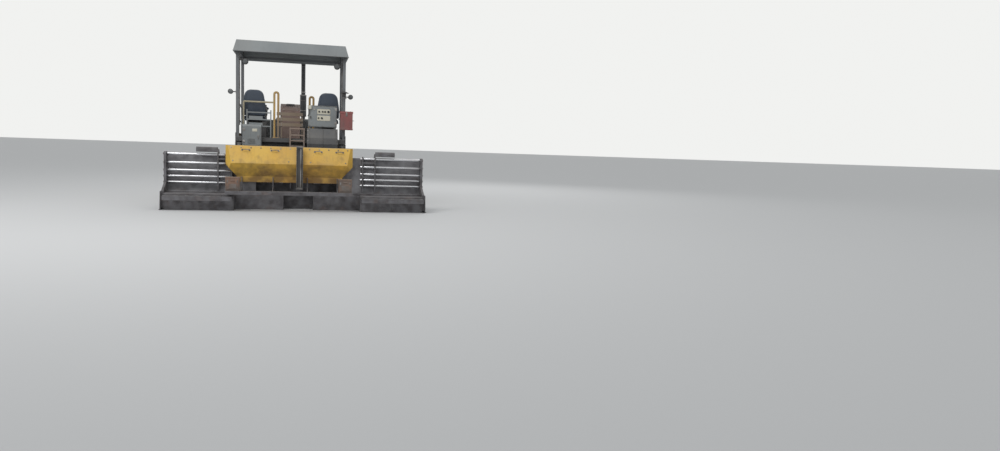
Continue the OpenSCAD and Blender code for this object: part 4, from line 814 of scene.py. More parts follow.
def add_pipe(bm, points, radius, sides=12):
    """A pipe through the points, with flat ends; the points are close together at its bends."""
    path = [Vector(p) for p in points]
    rings = []
    side_way = None
    for i, point in enumerate(path):
        before, after = path[max(i - 1, 0)], path[min(i + 1, len(path) - 1)]
        along = (after - before).normalized()
        if side_way is None:
            side_way = along.orthogonal().normalized()
        side_way = (side_way - along * side_way.dot(along)).normalized()
        across = along.cross(side_way)
        spots = ring_of(sides, point, radius, side_way, across)
        rings.append([bm.verts.new(spot) for spot in spots])
    skin_over(bm, rings)


def round_corner(before, corner, after, radius, steps):
    """Points of a curve that cuts the corner off, radius before and after it."""
    start = corner + (before - corner).normalized() * radius
    end = corner + (after - corner).normalized() * radius
    share = [k / steps for k in range(steps + 1)]
    return [start * (1 - t) ** 2 + corner * 2 * t * (1 - t) + end * t * t for t in share]


def bend(points, radius, steps=5):
    """The points of a path with each inner corner rounded."""
    path = [Vector(p) for p in points]
    out = [path[0]]
    for before, corner, after in zip(path, path[1:], path[2:]):
        out += round_corner(before, corner, after, radius, steps)
    return out + [path[-1]]


def outline(corners, steps):
    """A closed flat loop, anticlockwise, through corners (u, v, radius) that are rounded."""
    flat = [Vector(c[:2]) for c in corners]
    out = []
    for i, corner in enumerate(corners):
        out += round_corner(flat[i - 1], flat[i], flat[(i + 1) % len(flat)], corner[2], steps)
    return out


def rectangle(low, high, radius, steps=6):
    """The outline of a flat box with rounded corners."""
    (u0, v0), (u1, v1) = low, high
    return outline([(u, v, radius) for u, v in ((u0, v0), (u1, v0), (u1, v1), (u0, v1))], steps)


print("a rounded rectangle has", len(rectangle((0, 0), (1, 1), 0.1)), "points")

# %% [markdown]
# A finished mesh becomes a piece that rides on the body that carries it.

# %% Fittings: slabs and pieces
def plane_frame(origin, up, out):
    """A frame in a sloping face: u to the right, v up the slope, w out of it."""
    return Matrix(((1, 0, 0, origin.x), (0, up.y, out.y, origin.y), (0, up.z, out.z, origin.z),
                   (0, 0, 0, 1)))


def add_slab(bm, loop, layers, into=Matrix.Identity(4)):
    """A closed body over a flat loop. layers are (inset, height), from its back to its front."""
    rings = []
    for inset, height in layers:
        ring = []
        for i, point in enumerate(loop):
            run = (loop[(i + 1) % len(loop)] - loop[i - 1]).normalized()
            inner = Vector((point.x - run.y * inset, point.y + run.x * inset, height))
            ring.append(bm.verts.new(into @ inner))
        rings.append(ring)
    skin_over(bm, rings)


def fitting(name, bm, finish, body="tractor", smooth_below=40):
    """The mesh as a piece with its finish. Most fittings ride on the tractor."""
    mesh = bpy.data.meshes.new(name)
    bmesh.ops.recalc_face_normals(bm, faces=bm.faces)
    bm.to_mesh(mesh)
    bm.free()
    mesh.materials.append(MATERIALS[finish])
    mesh.shade_smooth()
    mesh.set_sharp_from_angle(angle=math.radians(smooth_below))
    piece = new_object(name, mesh)
    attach(piece, body)
    return piece


# %% [markdown]
# The extensions slide on chromed tubes. Where a tube leaves a plate there is a flange with a
# wiper, and where it ends in the outer frame a large nut clamps it. There are five tubes a side
# in one plane and three in another, so the places come from two short lists of heights.

# %% Tube flanges and nuts
HALF_BASE = 1.25
STAGE_OUT = {"left": (0.13, 0.94), "right": (0.45, 0.94)}
PLATE_GAP = 0.006
PLATE = 0.022
OUTER_TUBES = (-2.53, (0.525, 0.645, 0.765, 0.915, 1.085))
INNER_TUBES = (-2.365, (0.560, 0.760, 0.960))
TUBE_R = 0.027
WIPER_R = TUBE_R + 0.001
FRAME_DEPTH = 0.084


def tube_flanges(side, sign):
    inner, outer = STAGE_OUT[side]
    wall = HALF_BASE + inner + PLATE_GAP + PLATE
    bm = bmesh.new()
    for z in INNER_TUBES[1]:
        add_bolt(bm, (sign * wall, INNER_TUBES[0], z), (sign, 0, 0), 0.008)
    y, heights = OUTER_TUBES
    for z in heights:
        ring = [(WIPER_R, 0), (0.048, 0), (0.048, 0.004), (0.036, 0.005), (0.034, 0.0075),
                (WIPER_R, 0.0075)]
        add_turned(bm, ring, (sign * wall, y, z), (sign, 0, 0), 32)
        face = (sign * (wall + 0.0035), y, z)
        for spot in ring_of(4, face, 0.041, AXIS_Y, UP, EIGHTH_TURN):
            add_bolt(bm, spot, (sign, 0, 0), 0.0045)
    fitting("tube_flanges_" + side, bm, "worn_steel", "inner_stage_" + side)
    bm = bmesh.new()
    frame_face = HALF_BASE + inner + outer + FRAME_DEPTH
    for z in heights:
        add_bolt(bm, (sign * frame_face, y, z), (sign, 0, 0), 0.022)
    fitting("tube_nuts_" + side, bm, "worn_steel", "outer_stage_" + side)
    bm = bmesh.new()
    y, heights = INNER_TUBES
    for z in heights:
        lip = [(WIPER_R, 0), (0.040, 0), (0.038, 0.0035), (WIPER_R, 0.0042)]
        add_turned(bm, lip, (sign * HALF_BASE, y, z), (sign, 0, 0), 32)
    fitting("tube_wipers_" + side, bm, "rubber", "screed")


for side, sign in SIDES:
    tube_flanges(side, sign)
print("tube flanges, nuts and wipers")

# %% [markdown]
# The rear cover is folded sheet, bolted along its top and along the fold's ends. The bolts sit on
# a face that leans, so their axis is worked out from two points of that face. It is lifted off
# by four grab handles.

# %% Rear cover: bolts and handles
COVER_TOP_EDGE = Vector((0, -2.705, 1.276))
COVER_CREASE = Vector((0, -2.80, 0.94))
SLOPE = (COVER_CREASE - COVER_TOP_EDGE).normalized()
COVER_OUT = Vector((0, SLOPE.z, -SLOPE.y))
POST_X, POST_HALF = 0.185, 0.09
TOP_BOLTS, TOP_BOLTS_FROM, TOP_BOLTS_PITCH = 13, -1.14, 0.19
HANDLE_HALF, HANDLE_DOWN, HANDLE_RISE = 0.07, 0.075, 0.045


def on_cover(x, down, lift=0.0):
    """A point on the cover's upper face, down metres below its top edge."""
    return COVER_TOP_EDGE + SLOPE * down + COVER_OUT * lift + AXIS_X * x


def cover_fittings():
    bm = bmesh.new()
    for k in range(TOP_BOLTS):
        x = TOP_BOLTS_FROM + k * TOP_BOLTS_PITCH
        if abs(x - POST_X) > POST_HALF:
            add_bolt(bm, on_cover(x, 0.028), COVER_OUT, 0.011)
    for x in (-1.10, -0.03, 0.40, 1.10):
        add_bolt(bm, on_cover(x, 0.30), COVER_OUT, 0.011)
    fitting("cover_bolts", bm, "worn_steel", "screed")
    bm = bmesh.new()
    for x in (-0.86, -0.30, 0.55, 0.98):
        corners = [on_cover(x + end * HANDLE_HALF, HANDLE_DOWN, lift)
                   for end, lift in ((-1, 0), (-1, HANDLE_RISE), (1, HANDLE_RISE), (1, 0))]
        add_pipe(bm, bend(corners, 0.018), 0.008)
        for foot in (corners[0], corners[-1]):
            add_turned(bm, disc(0.018, 0.004), foot, COVER_OUT, 16)
    fitting("cover_handles", bm, "worn_steel", "screed")


cover_fittings()
print("cover leans", round(math.degrees(math.asin(COVER_OUT.z)), 1), "degrees")

# %% [markdown]
# A seat pad is foam under sewn vinyl: it swells between its seams and pulls in at them. Cloth
# simulation gives that swelling. A slab that starts a little small is blown up with its underside
# held, and how far a point may move is capped.

# %% Seats: cloth
SEAT_AT = Vector((0, -1.060, 1.950))  # middle of the seat, at the top of the cushion
SEAT_X = 0.780
BACK_UP = Vector((0, -0.1501, 0.9887))
BACK_FORWARD = Vector((0, 0.9887, 0.1501))
BACK_FOOT = SEAT_AT + Vector((0, -0.300, -0.060))
CUSHION_FOOT = SEAT_AT + Vector((0, 0, -0.094))
VOXEL = 0.006
SWELL_STEPS = 20

cushion_frame = Matrix.Translation(CUSHION_FOOT)
back_frame = plane_frame(BACK_FOOT, BACK_UP, BACK_FORWARD)


def evaluated(piece):
    """The piece's mesh with its modifiers applied, in place of its old mesh."""
    bpy.context.view_layer.update()
    depsgraph = bpy.context.evaluated_depsgraph_get()
    mesh = bpy.data.meshes.new_from_object(piece.evaluated_get(depsgraph))
    piece.modifiers.clear()
    piece.data = mesh
    return mesh


def positions(mesh):
    flat = np.empty(len(mesh.vertices) * 3)
    mesh.vertices.foreach_get("co", flat)
    return flat.reshape(-1, 3)


def swell(piece, held_below, cap):
    """Blows the piece up as cloth. What lies below held_below stays, and cap is the most that a
    point may move."""
    remesh = piece.modifiers.new("even", "REMESH")
    remesh.mode = "VOXEL"
    remesh.voxel_size = VOXEL
    start = positions(evaluated(piece))
    held = piece.vertex_groups.new(name="held")
    held.add([int(i) for i in np.nonzero(start[:, 2] < held_below)[0]], 1.0, "ADD")
    cloth = piece.modifiers.new("swell", "CLOTH")
    cloth.settings.vertex_group_mass = "held"
    cloth.settings.use_pressure = True
    cloth.settings.uniform_pressure_force = 4
    cloth.settings.effector_weights.gravity = 0
    cloth.point_cache.frame_end = SWELL_STEPS
    for step in range(1, SWELL_STEPS + 1):
        bpy.context.scene.frame_set(step)
    moved = positions(evaluated(piece)) - start
    reach = np.maximum(np.linalg.norm(moved, axis=1), 1e-9)
    capped = start + moved * np.minimum(1, cap / reach)[:, None]
    piece.data.vertices.foreach_set("co", capped.ravel())
    bpy.context.scene.frame_set(1)
    smooth = piece.modifiers.new("finer", "SUBSURF")
    smooth.levels = 1
    return evaluated(piece)


print("cloth grid", VOXEL, "blown up in", SWELL_STEPS, "steps")

# %% [markdown]
# The two suspension seats are alike, so each pad is shaped once and stands twice. The seams are
# pressed in after the simulation, where they come out sharper than with sewing springs.

# %% Seats: cushion and back
def sewn(mesh, seams, depth=0.008, width=0.0065):
    """Presses channels into the front of a pad. Each seam is a pair of flat points."""
    points = positions(mesh)
    facing = np.empty(len(mesh.vertices) * 3)
    mesh.vertices.foreach_get("normal", facing)
    front = np.clip(facing.reshape(-1, 3)[:, 2] * 2, 0, 1)
    press = np.zeros(len(points))
    for start, end in seams:
        a, run = np.array(start), np.array(end) - np.array(start)
        share = np.clip(((points[:, :2] - a) @ run) / (run @ run), 0, 1)
        away = np.linalg.norm(points[:, :2] - (a + share[:, None] * run), axis=1)
        channel = np.exp(-(away / width) ** 2)
        slack = 0.35 * np.exp(-(away / (4 * width)) ** 2)
        press = np.maximum(press, channel + slack)
    points[:, 2] -= depth * press * front
    mesh.vertices.foreach_set("co", points.ravel())
    mesh.update()


def pad(name, loop, layers, held_below, cap, seams):
    """One pad in its own flat frame: shaped, swollen, sewn."""
    bm = bmesh.new()
    add_slab(bm, loop, layers)
    mesh = bpy.data.meshes.new(name)
    bm.to_mesh(mesh)
    bm.free()
    piece = new_object(name, mesh)
    mesh = swell(piece, held_below, cap)
    sewn(mesh, seams)
    bpy.data.objects.remove(piece)
    print(name, len(mesh.polygons), "faces, top at", round(positions(mesh)[:, 2].max(), 4))
    return mesh


def mirrored(half, steps=6):
    """An outline that is alike left and right, from its right half, lowest corner first."""
    return outline([(-half[0][0], *half[0][1:])] + half + [(-u, v, r) for u, v, r in half[:0:-1]],
                   steps)


def seams_of(side, cross):
    """The two seams that run up a pad, and the ones across it as (half width, height)."""
    (u0, v0), (u1, v1) = side
    up = [((hand * u0, v0), (hand * u1, v1)) for hand in (-1, 1)]
    return up + [((-u, v), (u, v)) for u, v in cross]


cushion_loop = mirrored([(0.226, -0.200, 0.03), (0.224, 0.228, 0.07)])
cushion_seams = seams_of([(0.135, -0.22), (0.122, 0.25)], [(0.135, 0.085), (0.135, -0.06)])
cushion_layers = [(0.012, 0), (0, 0.010), (0, 0.055), (0.006, 0.068), (0.020, 0.076)]
cushion_mesh = pad("cushion", cushion_loop, cushion_layers, 0.012, 0.022, cushion_seams)

back_loop = mirrored([(0.222, 0.070, 0.04), (0.222, 0.255, 0.10), (0.166, 0.580, 0.120)], 9)
back_seams = seams_of([(0.135, 0.05), (0.112, 0.60)], [(0.135, 0.19), (0.128, 0.31), (0.120, 0.43)])
back_layers = [(0.012, 0.026), (0, 0.034), (0, 0.062), (0.006, 0.072), (0.018, 0.078)]
back_mesh = pad("back", back_loop, back_layers, 0.036, 0.020, back_seams)

# %% [markdown]
# A cord of piping is sewn in where the front panel meets the sides, and each channel has a row of
# stitches. Both have to lie on the swollen pad, so their points are found by shooting rays at it.

# %% Seats: piping and stitches
def over_pad(mesh):
    """A function that gives the height of the pad's front over a flat point, or None beside it."""
    points = [v.co for v in mesh.vertices]
    tree = BVHTree.FromPolygons(points, [tuple(p.vertices) for p in mesh.polygons])

    def height(point):
        hit = tree.ray_cast(Vector((point.x, point.y, 0.5)), Vector((0, 0, -1)))[0]
        return None if hit is None else hit.z

    return height


def add_piping(bm, mesh, loop, inset, into, radius=0.0042):
    height = over_pad(mesh)
    ring = []
    for i, point in enumerate(loop):
        run = (loop[(i + 1) % len(loop)] - loop[i - 1]).normalized()
        flat = Vector((point.x - run.y * inset, point.y + run.x * inset))
        top = height(flat)
        if top is not None:
            ring.append(into @ Vector((flat.x, flat.y, top)))
    add_pipe(bm, ring + ring[:2], radius, 8)


def add_stitches(bm, mesh, seams, into, beside=0.009, length=0.006, pitch=0.010):
    height = over_pad(mesh)
    for start, end in seams:
        a, b = Vector(start), Vector(end)
        run = (b - a).normalized()
        aside = Vector((-run.y, run.x)) * beside
        for k in range(int((b - a).length / pitch)):
            for side in (-1, 1):
                flat = [a + run * (k * pitch + d) + aside * side for d in (0, length)]
                tops = [height(p) for p in flat]
                if None not in tops and min(tops) > 0.05:
                    ends = [into @ Vector((p.x, p.y, t + 0.0004)) for p, t in zip(flat, tops)]
                    add_pipe(bm, ends, 0.0009, 5)


def dense(loop, most=0.02):
    """The loop with points added so that none are further apart than most."""
    out = []
    for here, after in zip(loop, loop[1:] + loop[:1]):
        count = max(1, math.ceil((after - here).length / most))
        out += [here.lerp(after, k / count) for k in range(count)]
    return out


print("pads' outlines:", len(dense(cushion_loop)), "and", len(dense(back_loop)), "points")

# %% [markdown]
# Under the pads a pressed pan and a moulded back shell carry them. Both are hard, so no cloth is
# needed: each is a loft over a flat outline, with a rounded rim.

# %% Seats: shell and pan
SHELL = [(0.236, 0.045, 0.05), (0.240, 0.262, 0.12), (0.180, 0.602, 0.135)]
SHELL_LAYERS = [(0.030, 0.0), (0.012, 0.003), (0.003, 0.012), (0, 0.024), (0.003, 0.034),
                (0.012, 0.036)]
PAN_LAYERS = [(0.05, -0.118), (0.015, -0.112), (0, -0.098), (0.002, -0.090), (0.014, -0.088)]


def seat_shell(label, x):
    """The moulded back with its pocket and ribs, and the pressed pan under the cushion."""
    to_back = Matrix.Translation((x, 0, 0)) @ back_frame
    to_pan = Matrix.Translation(SEAT_AT + AXIS_X * x)
    bm = bmesh.new()
    add_slab(bm, mirrored(SHELL, 10), SHELL_LAYERS, to_back)
    pocket = mirrored([(0.13, 0.10, 0.03), (0.12, 0.30, 0.03)])
    add_slab(bm, pocket, [(0.006, -0.006), (0, -0.003), (0, 0.004)], to_back)
    for u in (-0.185, 0.185):
        top = u * 0.86
        rib = outline([(u - 0.009, 0.09, 0.008), (u + 0.009, 0.09, 0.008),
                       (top + 0.007, 0.54, 0.006), (top - 0.007, 0.54, 0.006)], 3)
        add_slab(bm, rib, [(0.003, -0.004), (0, -0.001), (0, 0.006)], to_back)
    add_slab(bm, mirrored([(0.236, -0.225, 0.04), (0.236, 0.232, 0.08)]), PAN_LAYERS, to_pan)
    fitting("seat_shell_" + label, bm, "seat_shell")


print("seat shell:", len(SHELL_LAYERS), "layers over", len(mirrored(SHELL, 10)), "points")

# %% [markdown]
# The pan stands on an air-sprung pedestal: a floor plate, slide rails, and a rubber bellows that
# hides the linkage. A bellows is one loft whose layers step in and out, fold after fold.

# %% Seats: pedestal and bellows
RAILS_REAR, RAILS_FRONT = -1.186, -0.916
SEAT_FOOT = SEAT_AT.z - 0.480
RAILS_TOP = SEAT_FOOT + 0.046
PAN_FOOT = 1.806
FOLDS = 7


def seat_frame(label, x):
    """Floor plate, slide rails, arm rest brackets, top plate and the slide's bow handle."""
    bm = bmesh.new()
    add_block(bm, (x - 0.150, -1.190, SEAT_FOOT + 0.001), (x + 0.150, -0.912, SEAT_FOOT + 0.016),
              0.004)
    for side in (-1, 1):
        rail = x + side * 0.125
        add_block(bm, (rail - 0.018, RAILS_REAR, SEAT_FOOT + 0.016),
                  (rail + 0.018, RAILS_FRONT, RAILS_TOP), 0.003)
        bracket = [(0.232, -1.290, 1.93), (0.258, -1.285, 1.96), (0.262, -1.275, 2.05),
                   (0.266, -1.235, 2.104)]
        add_pipe(bm, bend([(x + side * u, y, z) for u, y, z in bracket], 0.012), 0.011)
    add_block(bm, (x - 0.146, RAILS_REAR, PAN_FOOT), (x + 0.146, RAILS_FRONT, 1.829), 0.004)
    bow = [(-0.10, -0.905, 1.822), (-0.10, -0.838, 1.815), (0.10, -0.838, 1.815),
           (0.10, -0.905, 1.822)]
    add_pipe(bm, bend([(x + u, y, z) for u, y, z in bow], 0.02), 0.006)
    fitting("seat_frame_" + label, bm, "black_paint")


def seat_bellows(label, x):
    bm = bmesh.new()
    pitch = (PAN_FOOT - RAILS_TOP) / FOLDS
    layers = []
    for k in range(FOLDS):
        low = RAILS_TOP + k * pitch
        layers += [(0.024, low), (0.006, low + pitch * 0.38), (0, low + pitch * 0.5),
                   (0.006, low + pitch * 0.62)]
    layers.append((0.024, RAILS_TOP + FOLDS * pitch))
    base = rectangle((-0.138, -0.128), (0.138, 0.128), 0.04)
    add_slab(bm, base, layers, Matrix.Translation((x, -1.051, 0)))
    fitting("seat_bellows_" + label, bm, "rubber", smooth_below=60)


print("bellows with", FOLDS, "folds, each", round((PAN_FOOT - RAILS_TOP) / FOLDS, 3), "high")

# %% [markdown]
# The arm rests are soft too, but too small to show a swelling, so they are shaped directly. Then
# both seats are put together. The two sewn pads stand for the seat's node in the CAD.

# %% Seats: arm rests and assembly
REST = mirrored([(0.019, -0.166, 0.016), (0.020, 0.164, 0.017)], 5)
REST_LAYERS = [(0.006, -0.019), (0.001, -0.013), (0, 0.004), (0.003, 0.012), (0.009, 0.0175),
               (0.015, 0.019)]


def arm_rests(label, x):
    for side, hand in ((-1, "a"), (1, "b")):
        bm = bmesh.new()
        add_slab(bm, REST, REST_LAYERS, Matrix.Translation((x + side * 0.268, -1.140, 2.115)))
        pad_piece = fitting("seat_armrest_" + label + "_" + hand, bm, "vinyl", smooth_below=60)


def seat_soft_parts(label, x):
    """The two pads with their trim."""
    trim, thread = bmesh.new(), bmesh.new()
    for part, mesh, loop, seams, into in (
            ("cushion", cushion_mesh, cushion_loop, cushion_seams, cushion_frame),
            ("back", back_mesh, back_loop, back_seams, back_frame)):
        there = Matrix.Translation((x, 0, 0)) @ into
        copy = mesh.copy()
        copy.name = "seat_" + part + "_" + label
        copy.transform(there)
        copy.materials.append(MATERIALS["vinyl"])
        copy.shade_smooth()
        piece = new_object(copy.name, copy)
        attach(piece, "tractor")
        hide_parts("seat_" + label)
        add_piping(trim, mesh, dense(loop), 0.004, there)
        add_stitches(thread, mesh, seams, there)
    fitting("seat_piping_" + label, trim, "vinyl", smooth_below=60)
    fitting("seat_stitches_" + label, thread, "cream_plate", smooth_below=60)


for label, side in SIDES:
    for build in (seat_shell, seat_frame, seat_bellows, arm_rests, seat_soft_parts):
        build(label, side * SEAT_X)
print("seats:", len(cushion_mesh.polygons) + len(back_mesh.polygons), "pad faces each")

# %% [markdown]
# Each lamp is a black cup with a ribbed lens that bulges a little, and while it is off it looks
# dark. The lens is turned as one profile, so it catches light as a lens does.

# %% Lamps: bezels, lenses, brackets
WORK_LAMP = (0.951, -1.520, 3.085)
WORK_AXIS = Vector((0, -math.sin(math.radians(110)), math.cos(math.radians(110))))
WORK_R = 0.062
SIDE_LAMP = (1.251, -1.555, 2.420)
SIDE_R = 0.050
BEZEL = [(1.0, -0.003), (1.06, -0.001), (1.06, 0.007), (0.98, 0.009), (0.93, 0.004)]
GLASS = [(0.94, 0.001), (0.86, 0.004), (0.62, 0.0085), (0.34, 0.011), (0, 0.012)]


def lamps():
    bezels, glass, mounts = bmesh.new(), bmesh.new(), bmesh.new()
    for side in (-1, 1):
        work = Vector((side * WORK_LAMP[0], *WORK_LAMP[1:]))
        small = Vector((side * SIDE_LAMP[0], *SIDE_LAMP[1:]))
        for at, axis, radius in ((work + WORK_AXIS * 0.08, WORK_AXIS, WORK_R),
                                 (small, BACKWARDS, SIDE_R)):
            add_turned(bezels, [(r * radius, h) for r, h in BEZEL], at, axis, 40)
            add_turned(glass, [(r * radius, h) for r, h in GLASS], at, axis, 40)
        cup = [(0.046, 0), (0.040, 0.012), (0.022, 0.020), (0, 0.022)]
        add_turned(mounts, cup, (small.x, -1.471, small.z), AXIS_Y, 32)
        for dz in (-0.03, 0.03):
            add_bolt(mounts, (side * 1.147, -1.513 + dz * 0.4, small.z + dz), (side, 0, 0), 0.007)
        for turn in (-1, 1):
            hinge = work + WORK_AXIS * 0.03 + AXIS_X * (turn * 0.046)
            add_block(mounts, hinge - Vector((0.003, 0.010, 0.010)),
                      hinge + Vector((0.003, 0.010, 0.045)), 0.002)
            add_bolt(mounts, hinge + AXIS_X * (turn * 0.003), (turn, 0, 0), 0.008)
        add_block(mounts, work + Vector((-0.052, -0.040, 0.032)),
                  work + Vector((0.052, -0.016, 0.038)), 0.002)
    fitting("lamp_bezels", bezels, "lamp_shell")
    fitting("lamp_lenses", glass, "lamp_glass", smooth_below=70)
    fitting("lamp_mounts", mounts, "black_paint")


lamps()
print("lamps: two work lamps and two side lamps")

# %% [markdown]
# The horn hangs behind the right post under a wide rain cap. Its trumpet opens downwards. A
# rotating beacon would look much the same, but nothing in the photograph lights up there.

# %% Horn
HORN_AT = (1.111, -1.655)
TRUMPET = [(0.036, 0.0), (0.040, -0.010), (0.052, -0.024), (0.055, -0.026), (0.049, -0.026),
           (0.030, -0.006), (0, -0.004)]
CAP_RIM = [(0.094, 0.0005), (0.1025, 0.0), (0.1025, -0.004), (0.094, -0.004)]


def horn():
    bm = bmesh.new()
    add_turned(bm, TRUMPET, (*HORN_AT, 2.400), UP, 36)
    for z in (2.432, 2.462):
        add_turned(bm, band(0.0362, 0.039, 0.003, 0.001), (*HORN_AT, z), UP, 36)
    add_turned(bm, CAP_RIM, (*HORN_AT, 2.4965), UP, 48)
    add_bolt(bm, (*HORN_AT, 2.525), UP, 0.009)
    fitting("horn_trim", bm, "black_paint")


horn()
print("horn")

# %% [markdown]
# The switch cabinet faces the screed. Its door has hinges, a quarter-turn latch and screws round
# the rim, and sockets sit in the cream plates. The plates carry no writing. A small cream
# junction box and a signal lamp sit beside them.

# %% Switch cabinet
DOOR_Y = -1.555
PLATE_Y = -1.560
UPPER_PLATE = [(0.582, 0.016), (0.655, 0.016), (0.708, 0.016), (0.780, 0.021)]
LOWER_PLATE = [(0.570, 0.014), (0.640, 0.018)]
LATCH = [(0, 0), (0.016, 0), (0.016, 0.004), (0.009, 0.006), (0.009, 0.014), (0, 0.014)]
SIGNAL_LAMP = (0.482, DOOR_Y, 2.118)
DOME = [(0.013, 0.004), (0.012, 0.010), (0.007, 0.015), (0, 0.017)]


def socket_profile(r):
    return [(0, 0), (r * 1.25, 0), (r * 1.25, 0.003), (r, 0.004), (r, 0.016), (r * 0.8, 0.018),
            (r * 0.72, 0.010), (0, 0.010)]


def cabinet():
    metal, dark, light = bmesh.new(), bmesh.new(), bmesh.new()
    bolt_grid(metal, (0.378, 0.520, 0.655, 0.790, 0.932), DOOR_Y, (1.766, 2.174), 0.006)
    for z in (1.80, 2.10):
        add_turned(metal, disc(0.008, 0.07), (0.957, -1.552, z), UP, 16)
        add_block(metal, (0.915, -1.5585, z + 0.008), (0.957, -1.5545, z + 0.062), 0.0015)
    for row, z in ((UPPER_PLATE, 2.075), (LOWER_PLATE, 1.935)):
        for x, radius in row:
            add_turned(dark, socket_profile(radius), (x, PLATE_Y, z), BACKWARDS, 28)
    for foot in (1.880, 2.020):
        bolt_grid(metal, (0.550, 0.810), PLATE_Y, (foot + 0.010, foot + 0.100), 0.0035)
    add_turned(metal, LATCH, (0.400, DOOR_Y, 1.960), BACKWARDS, 28)
    add_block(dark, (0.393, -1.577, 1.915), (0.407, -1.569, 1.972), 0.003)
    add_turned(light, DOME, SIGNAL_LAMP, BACKWARDS, 24)
    add_turned(metal, [(0, 0), (0.016, 0), (0.016, 0.004), (0, 0.005)], SIGNAL_LAMP, BACKWARDS, 24)
    add_block(light, (0.338, -1.590, 2.118), (0.418, -1.556, 2.202), 0.005)
    bolt_grid(metal, (0.346, 0.410), -1.590, (2.126, 2.194), 0.004)
    cable = [(0.378, -1.572, 2.119), (0.378, -1.572, 2.02), (0.345, -1.556, 1.985),
             (0.3448, -1.50, 1.97)]
    add_pipe(dark, bend(cable, 0.02), 0.006)
    add_block(metal, (0.352, -1.560, 2.198), (0.958, -1.440, 2.2035), 0.002)
    fitting("cabinet_fastenings", metal, "worn_steel")
    fitting("cabinet_sockets", dark, "lamp_shell")
    fitting("cabinet_junction_box", light, "cream_plate")


cabinet()
print("cabinet sockets:", len(UPPER_PLATE) + len(LOWER_PLATE))

# %% [markdown]
# The red box on the right post is a folded sheet locker: a lid with a rim, a hasp with its staple,
# two strap hinges and lift handles at the sides. The grey locker opposite has a flush door with
# louvres, a lever latch and a bare plate riveted on.

# %% Lockers
GRIP_Y, GRIP_Z = (-1.700, -1.610), 1.90
LOCKER_FACE = -1.6986
LOUVRE_BLADES = 5
LEVER_LATCH = [(0, 0), (0.018, 0), (0.018, 0.004), (0.010, 0.006), (0.010, 0.016), (0, 0.016)]


def red_box_fittings():
    low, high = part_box("red_box")
    middle = (low.x + high.x) / 2
    bm = bmesh.new()
    add_block(bm, (middle - 0.016, low.y - 0.003, 2.020), (middle + 0.016, low.y + 0.002, 2.078),
              0.0015)
    add_block(bm, (middle - 0.020, low.y + 0.005, 1.985), (middle + 0.020, low.y + 0.0085, 2.042),
              0.0015)
    staple = [(middle + u, low.y + v, 2.010)
              for u, v in ((-0.008, 0.006), (-0.008, -0.012), (0.008, -0.012), (0.008, 0.006))]
    add_pipe(bm, bend(staple, 0.006), 0.003)
    for x in (low.x + 0.055, high.x - 0.055):
        add_block(bm, (x - 0.012, low.y + 0.010, high.z - 0.0005),
                  (x + 0.012, high.y - 0.030, high.z + 0.003), 0.001)
        for y in (low.y + 0.05, low.y + 0.13):
            add_bolt(bm, (x, y, high.z + 0.003), UP, 0.005)
    side_x = high.x - 0.008
    grip = [(side_x + u, GRIP_Y[end], GRIP_Z)
            for u, end in ((0, 0), (0.028, 0), (0.028, 1), (0, 1))]
    add_pipe(bm, bend(grip, 0.012), 0.005)
    for y in GRIP_Y:
        add_turned(bm, disc(0.012, 0.003), (side_x, y, GRIP_Z), AXIS_X, 16)
    for x in (low.x + 0.020, high.x - 0.020):
        for z, behind in ((1.712, 0.005), (2.000, 0.008)):
            add_bolt(bm, (x, low.y + behind, z), BACKWARDS, 0.005)
    fitting("red_box_fittings", bm, "worn_steel")


def tool_rack_fittings():
    face = LOCKER_FACE
    steel, plate, louvres = bmesh.new(), bmesh.new(), bmesh.new()
    for z in (1.34, 1.59):
        add_turned(steel, disc(0.008, 0.07), (-0.988, face + 0.004, z), UP, 16)
        add_block(steel, (-0.986, face - 0.004, z + 0.008), (-0.945, face, z + 0.062), 0.0015)
    add_turned(steel, LEVER_LATCH, (-0.680, face, 1.50), BACKWARDS, 28)
    add_block(steel, (-0.687, face - 0.022, 1.435), (-0.673, face - 0.012, 1.510), 0.003)
    for k in range(LOUVRE_BLADES):
        z = 1.345 + k * 0.022
        blade = [(-0.90, face, z), (-0.88, face - 0.004, z), (-0.76, face - 0.004, z),
                 (-0.74, face, z)]
        add_pipe(louvres, blade, 0.0055, 8)
    bolt_grid(steel, (-0.965, -0.655), face, (1.315, 1.50, 1.665), 0.005)
    add_block(plate, (-0.800, face - 0.003, 1.590), (-0.700, face + 0.001, 1.650), 0.001)
    fitting("locker_fittings", steel, "worn_steel")
    fitting("locker_louvres", louvres, "grey_paint", smooth_below=60)
    fitting("locker_plate", plate, "cream_plate")


red_box_fittings()
tool_rack_fittings()
print("lockers: red and grey")

# %% [markdown]
# The middle dash has a lid, closed over its gauges, and a row of rocker switches behind it.
# Fittings on a slope are easiest to place in the slope's own frame.

# %% Consoles: middle dash
DASH_X = -0.0425


def rocker(bm, into, u, v):
    base = rectangle((u - 0.011, v - 0.016), (u + 0.011, v + 0.016), 0.003, 2)
    add_slab(bm, base, [(0, 0), (0, 0.003), (0.002, 0.0045)], into)
    key = rectangle((u - 0.008, v - 0.013), (u + 0.008, v + 0.013), 0.002, 2)
    add_slab(bm, key, [(0, 0.004), (0, 0.008), (0.002, 0.010)], into)


